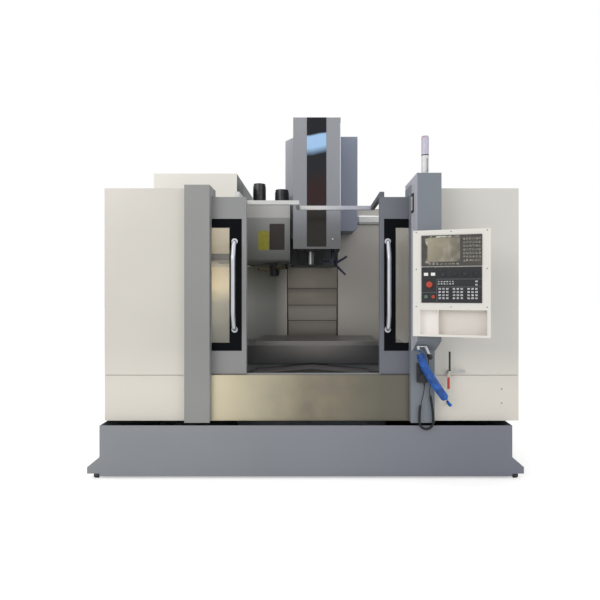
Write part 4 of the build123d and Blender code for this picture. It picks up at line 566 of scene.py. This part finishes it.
# Painted light on the guards' tops near the middle
lit = guard.times(guard.ramp(guard.z, 0.74, 0.92),
                  guard.ramp(guard.distance(guard.x, 0.05), 0.62, 0.1))
guard.over(lit, "9b9893")
guard.give("table_guards")

# Tool changer housing, with painted shade darker towards the bottom, a painted band of light along
# its top, and two plain plates on its front
housing = painted("housing_paint", "a0a1a0", "959695", 0.4)
shade = housing.ramp(housing.z, 1.75, 2.2)
housing.color(housing.mix(shade, tone("676864"), housing.base))
upper = housing.ramp(housing.z, 2.195, 2.205)
housing.over(upper, "c4c3c2")
yellow = housing.block((-556, 1130, 1868), (-445, 1150, 2066))
brown = housing.block((-440, 1130, 1868), (-283, 1150, 2138))
stain = housing.ramp(housing.noise(0.02), 0.3, 0.7)
housing.over(yellow, housing.mix(stain, tone("8f8a24"), tone("a8a132")))
housing.over(brown, housing.mix(stain, tone("1a0c02"), tone("25140a")))
housing.give("atc_housing")

motor = moulded("motor_black", "2b2c2e", "212224", 0.3)
motor.give("atc_unit")

# Glass of the doors, clear inside its black printed borders
glass = Finish("door_glass")
clear_mask = glass.either(*[glass.block((x0, 10, 1036), (x1, 40, 1938))
                            for x0, x1 in ((-1198.7, -642.3), (664.3, 1226.7))])
dirt = glass.ramp(glass.noise(0.3, 4.0), 0.35, 0.75)
glass.color(glass.mix(clear_mask, tone("16171a"), glass.mix(dirt, tone("eceae6"), tone("dcd8cc"))))
glass.set("Transmission Weight", glass.times(clear_mask, 0.9))
glass.rough(glass.ramp(glass.noise(0.12, 3.0), 0.3, 0.8, 0.03, 0.09))
glass.set("IOR", 1.45)
glass.set("Specular IOR Level", glass.times(clear_mask, 0.2))
glass.give("left_window", "right_window")

chrome = brushed("handle_steel", "d2d4da", "b9bcc3", 0.3, (1, 1, 60), 0.9)
chrome.give("left_handle", "right_handle")

lamp = Finish("lamp_plastic")
band = lamp.noise(0.004, 2.0, (1, 1, 0.5))
lamp.color(lamp.mix(lamp.above(lamp.z, 2.455), tone("f0f0f2"), tone("d2cde0")))
split_ring = lamp.block((800, -220, 2447), (900, -100, 2455))
rod = lamp.block((856, -200, 2320), (863, -100, 2425))
top_red = lamp.block((820, -200, 2583), (842, -100, 2600))
lamp.over(lamp.either(split_ring, rod), "4a4a50")
lamp.over(top_red, "c79aa4")
lamp.set("Transmission Weight", 0.25)
lamp.rough(lamp.ramp(band, 0.3, 0.7, 0.14, 0.28))
lamp.give("signal_lamp")

tube_lamp = Finish("lamp_tube")
ends = tube_lamp.either(tube_lamp.block((500, 1700, 2200), (548, 1860, 2400)),
                        tube_lamp.block((1076, 1700, 2200), (1120, 1860, 2400)))
frost = tube_lamp.noise(0.05)
tube_lamp.color(tube_lamp.mix(frost, tone("efefee"), tone("e2e4e3")))
tube_lamp.over(ends, "9c9fa0")
tube_lamp.rough(tube_lamp.ramp(frost, 0.3, 0.7, 0.25, 0.4))
tube_lamp.give("work_lamp")

# Pendant: its own frame has X along the width, Y inwards and Z up, in metres
TURN = math.radians(-16.4)
PENDANT = at(728, -310, 1120)


def area(made, u0, u1, v0, v1, w0=-50.0, w1=50.0):
    """Mask of a block of the pendant in its own frame."""
    return made.inside((u0 / 1000, -w1 / 1000, v0 / 1000), (u1 / 1000, -w0 / 1000, v1 / 1000),
                       made.local)


def proud(made, height):
    """Mask of what stands out of the pendant's front by more than a height in metres."""
    return made.above(made.times(made.axes(made.local)[1], -1.0), height)


def pendant_finish(maker, *settings):
    """A finish that also knows the pendant's own frame."""
    made = maker(*settings)
    made.local = made.turned(PENDANT, TURN)
    return made


case = pendant_finish(painted, "pendant_paint", "e6e4dc", "dfddd6", 0.4)
case.over(proud(case, 0.0004), "6c6e70")
# Painted shade in the pocket, with painted light on its left part
pocket = area(case, 0, 520, 14, 190, -70, -4)
case.over(pocket, "ddd7d0")
left_pocket = area(case, 40, 174, 14, 190, -70, -4)
case.over(left_pocket, "f6f2ee")
case.give("pendant_box")

# Screen unit: dark bezel, brownish glass with a painted reflection and a pale painted sheen, a
# painted reflection on the rim of the bezel, and key legends as plain light specks
screen = pendant_finish(moulded, "screen_unit", "4a4843", "3c3a36", 0.3)
pane = area(screen, 100, 320, 526, 695)
sheen = screen.noise(0.09, 2.0, (1, 1, 1.6))
u_axis, _, v_axis = screen.axes(screen.local)
reflection_gradient = screen.ramp(screen.plus(u_axis, screen.times(v_axis, -0.5)), -0.25, 0.05)
pane_reflection = screen.mix(reflection_gradient, tone("a39b86"), tone("5f5b52"))
pane_reflection = screen.mix(screen.ramp(sheen, 0.45, 0.75), pane_reflection, tone("aca593"))
specks = screen.ramp(screen.noise(0.0045, 2.0), 0.52, 0.62)
key_face = screen.mix(specks, tone("56544e"), tone("b9b6ac"))
screen.over(proud(screen, 0.0074), key_face)
# Painted reflection along the bezel rim, towards one corner
edge_in = area(screen, 84, 330, 516, 706)
bezel_reflection = screen.times(screen.minus(edge_in, pane),
                    screen.ramp(screen.noise(0.03, 3.0), 0.45, 0.6))
bezel_reflection = screen.times(bezel_reflection, screen.ramp(screen.minus(v_axis, u_axis), 0.34, 0.5))
screen.over(bezel_reflection, "c9c6b8")
screen.over(pane, pane_reflection)
screen.rough(screen.minus(0.34, screen.times(pane, 0.24)))
screen.give("screen_unit")

# Operator panel: light membrane keys, two white square buttons and thin lines between the groups
panel = pendant_finish(moulded, "operator_panel", "222327", "191a1e", 0.36)
raised = proud(panel, 0.0052)
key_rows = panel.either(area(panel, 160, 300, 355, 400), area(panel, 160, 460, 258, 346),
                        area(panel, 410, 450, 350, 396))
bars = panel.noise(0.006, 2.0, (1.4, 1.4, 0.8))
legend = panel.mix(panel.ramp(bars, 0.48, 0.56), tone("8f9196"), tone("d6d7da"))
panel.over(panel.times(raised, key_rows), legend)
squares = panel.either(area(panel, 72, 110, 424, 452), area(panel, 120, 158, 424, 452))
panel.over(panel.times(squares, raised), "ecece8")
panel_edge = panel.minus(1.0, area(panel, 64, 459, 243, 484))
panel.over(panel_edge, "2e2f33")
groups = panel.either(area(panel, 163, 166, 244, 405), area(panel, 163, 460, 402, 406),
                      area(panel, 163, 460, 348, 351), area(panel, 64, 163, 310, 313))
panel.over(panel.times(groups, 0.6), "77787c")
panel.give("operator_panel")

red = moulded("button_red", "b9442f", "a63a28", 0.34)
red.give("estop_button", "stop_button")
green = moulded("button_green", "5c7a66", "4c6a56", 0.34)
green.give("start_button")
knob = moulded("knob_black", "303134", "222326", 0.4)
knob.give("feed_knob", "spindle_knob", "mpg_wheel")
remote = moulded("remote_black", "2a2b2f", "1f2023", 0.42)
remote.give("mpg_box")

gun = Finish("gun_metal")
low_part = gun.ramp(gun.z, 0.972, 0.968)
gun.color(gun.mix(low_part, tone("d5d8dc"), tone("1f2023")))
gun.set("Metallic", gun.minus(0.7, gun.times(low_part, 0.7)))
gun.rough(gun.ramp(gun.noise(0.01), 0.2, 0.8, 0.22, 0.4))
gun.give("air_gun")

valve = Finish("valve_brass")
long_lever = valve.block((1050, -60, 826), (1080, -40, 990))
short_lever = valve.block((1040, -60, 680), (1070, -40, 778))
stub = valve.block((1076, -60, 800), (1200, 10, 840))
grime = valve.ramp(valve.noise(0.008), 0.3, 0.7)
valve.color(valve.mix(grime, tone("b9b3a4"), tone("c9c6bf")))
valve.over(stub, "b9bcbd")
valve.over(long_lever, "25262a")
valve.over(short_lever, "b8392c")
outlet = valve.block((1030, -92, 540), (1092, -30, 640))
valve.over(outlet, "1c63c0")
plain = valve.minus(1.0, valve.either(long_lever, short_lever, stub))
valve.set("Metallic", valve.times(plain, 0.8))
valve.rough(valve.ramp(grime, 0.0, 1.0, 0.28, 0.42))
valve.give("air_valve")

nozzle = moulded("nozzle_plastic", "23284a", "1a1c30", 0.42)
nozzle.give("coolant_nozzles")


# Lead of the handheld box: plain, a tight curl, and plain again up to the gland
LEAD_Y = -82.3
lead_route = [at(x, LEAD_Y, z) for x, z in ((865, 736), (865, 688), (841, 592), (830, 548),
                                            (826, 490), (826, 420), (857, 389), (901, 389),
                                            (932, 420), (932, 490), (922, 574), (906, 662),
                                            (902, 684), (912, 722), (904, 770), (892, 825),
                                            (895, 885), (895, 960))]
jacket = moulded("lead_rubber", "1d1e21", "131417", 0.46)
lead = spline_object("handheld_lead", helix(
    lead_route, radius=0.0068, pitch=0.0072, ramp=0.03, lead_in=0.147, lead_out=0.3), 0.0032)
lead.data.resolution_u = 2
lead.data.materials.append(jacket.material)
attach(lead, "machine")
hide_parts("mpg_lead_lower", "mpg_curl", "mpg_lead_upper")
reliefs = [tapered_relief("relief_low", at(865, LEAD_Y, 737), (0, 0, -1), 26, 5.6, 3.5, jacket),
           tapered_relief("relief_high", at(895, LEAD_Y, 961), (0, 0, -1), 28, 6.0, 3.5, jacket)]

# Coiled air hose between the blow gun and the outlet on the sheet
hose_route = [at(803, -160, 1006), at(826, -164, 925), at(878, -160, 810), at(1040, -80, 600)]
tubing = moulded("hose_blue", "2a72d2", "0f438f", 0.22)
tubing.set("Coat Weight", 0.35)
hose = spline_object("air_hose_coil", helix(
    hose_route, radius=0.0288, pitch=0.0094, ramp=0.05), 0.004)
hose.data.resolution_u = 2
hose.data.materials.append(tubing.material)
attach(hose, "machine")
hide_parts("air_hose")

# Small hardware
bolt = brushed("screw_steel", "8f9294", "6f7274", 0.3, (1, 1, 1))
bright = brushed("bright_steel", "d8dadc", "bfc2c5", 0.2, (1, 1, 1))
screws("panel_screws", [(1487, 0, 677), (1487, 0, 567)], (0, -1, 0), bolt)
screws("cover_knob", [(206, 990, 1963)], (0, -1, 0), bright, "head", 1.6)
for name, x, way in (("left_side_screws", -1613, -1), ("right_side_screws", 1620, 1)):
    edge_rows = [(x, y, z) for y in (260, 660, 1060, 1460) for z in (470, 2210)]
    screws(name, edge_rows, (way, 0, 0), bolt, size=1.3)
plate_corners = [(x, 1140, z)
                 for columns, rows in (((-548, -452), (1876, 2058)), ((-434, -290), (1876, 2130)))
                 for z in rows for x in columns]
screws("plate_rivets", plate_corners, (0, -1, 0), bolt, size=0.55)

# Interlock switch on the left face of the swing box: a black frame round a pale body
in_layout = Matrix.Translation(OFFSET)
work = bmesh.new()
for low, high in (((768, -116, 2040), (777, 8, 2056)), ((768, -116, 2166), (777, 8, 2182)),
                  ((768, -116, 2056), (777, -100, 2166)), ((768, -8, 2056), (777, 8, 2166))):
    add_plate(work, low, high, in_layout, 1.5)
rim = moulded("rim_black", "1f2022", "16171a", 0.4)
piece("interlock_rim", mesh_from(work, "interlock_rim"), rim)
work = bmesh.new()
add_plate(work, (771, -98, 2058), (777, -10, 2164), in_layout, 1.0)
for index in range(5):
    z0 = 2068 + index * 19
    add_plate(work, (769.5, -90, z0), (771.4, -18, z0 + 9), in_layout, 0.6)
pale = moulded("switch_body", "d9d9d2", "c8c8c0", 0.42)
piece("interlock_body", mesh_from(work, "interlock_body"), pale)

# Louvres of the rear cabinet door
work = bmesh.new()
slant = Matrix.Rotation(math.radians(-24), 4, "X")
for column_x in (760, 1180):
    for index in range(12):
        slat = Matrix.Translation(at(column_x, 2402.3, 700 + index * 22)) @ slant
        add_plate(work, (0, 0, 0), (200, 2.0, 15), slat, 0.5)
louvre = painted("louvre_paint", "8f9394", "84888a", 0.42)
piece("cabinet_louvres", mesh_from(work, "cabinet_louvres"), louvre, "rear_door")

# Plain pale floor, white to the camera but for the object's shadow
ground = bpy.data.meshes.new("floor")
REACH = 40
FLOOR_GLOW = 0.45
ground.from_pydata([(-REACH, -REACH, 0), (REACH, -REACH, 0), (REACH, REACH, 0),
                    (-REACH, REACH, 0)], [], [(0, 1, 2, 3)])
floor = bpy.data.objects.new("floor", ground)
bpy.context.scene.collection.objects.link(floor)
pale_floor = Finish("floor_pale")
pale_floor.color(pale_floor.mix(pale_floor.noise(3.0), tone("e4e4e2"), tone("eaeae8")))
pale_floor.rough(0.9)
rays = pale_floor.node("ShaderNodeLightPath")
pale_floor.set("Emission Color", tone("ffffff"))
pale_floor.set("Emission Strength", pale_floor.times(rays.outputs["Is Camera Ray"], FLOOR_GLOW))
ground.materials.append(pale_floor.material)


# Soft studio light, under a world that looks white to camera, metal and glass

def larger(tree, a, b):
    made = tree.nodes.new("ShaderNodeMath")
    made.operation = "MAXIMUM"
    tree.links.new(a, made.inputs[0])
    tree.links.new(b, made.inputs[1])
    return made.outputs[0]


LIGHTING_STRENGTH = 0.72
SEEN_STRENGTH = 1.0
world = bpy.data.worlds.new("studio")
bpy.context.scene.world = world
world.use_nodes = True
tree = world.node_tree
background = tree.nodes["Background"]
background.inputs["Color"].default_value = (1, 1, 1, 1)
path = tree.nodes.new("ShaderNodeLightPath").outputs
seen = larger(tree, larger(tree, path["Is Camera Ray"], path["Is Glossy Ray"]),
              path["Is Transmission Ray"])
strength = tree.nodes.new("ShaderNodeMapRange")
strength.inputs["To Min"].default_value = LIGHTING_STRENGTH
strength.inputs["To Max"].default_value = SEEN_STRENGTH
tree.links.new(seen, strength.inputs["Value"])
tree.links.new(strength.outputs["Result"], background.inputs["Strength"])


def softbox(name, place, target, size, power):
    """A rectangular lamp of a size in metres and a power in watts, aimed at a target."""
    light = bpy.data.lights.new(name, "AREA")
    light.shape = "RECTANGLE"
    light.size, light.size_y = size
    light.energy = power
    made = bpy.data.objects.new(name, light)
    bpy.context.scene.collection.objects.link(made)
    made.location = place
    made.rotation_euler = (Vector(target) - Vector(place)).to_track_quat("-Z", "Y").to_euler()


softbox("key", (-4.2, -5.5, 4.2), (0, -0.6, 1.2), (4.0, 3.0), 120)
softbox("fill", (3.6, -5.0, 3.2), (0.3, -0.5, 1.2), (3.0, 3.0), 30)
softbox("corner", (-1.25, 0.1, 1.35), (-1.25, 0.9, 1.5), (0.4, 0.7), 3)
softbox("top", (0.0, 0.4, 6.2), (0, 0.2, 1.0), (4.0, 3.0), 120)
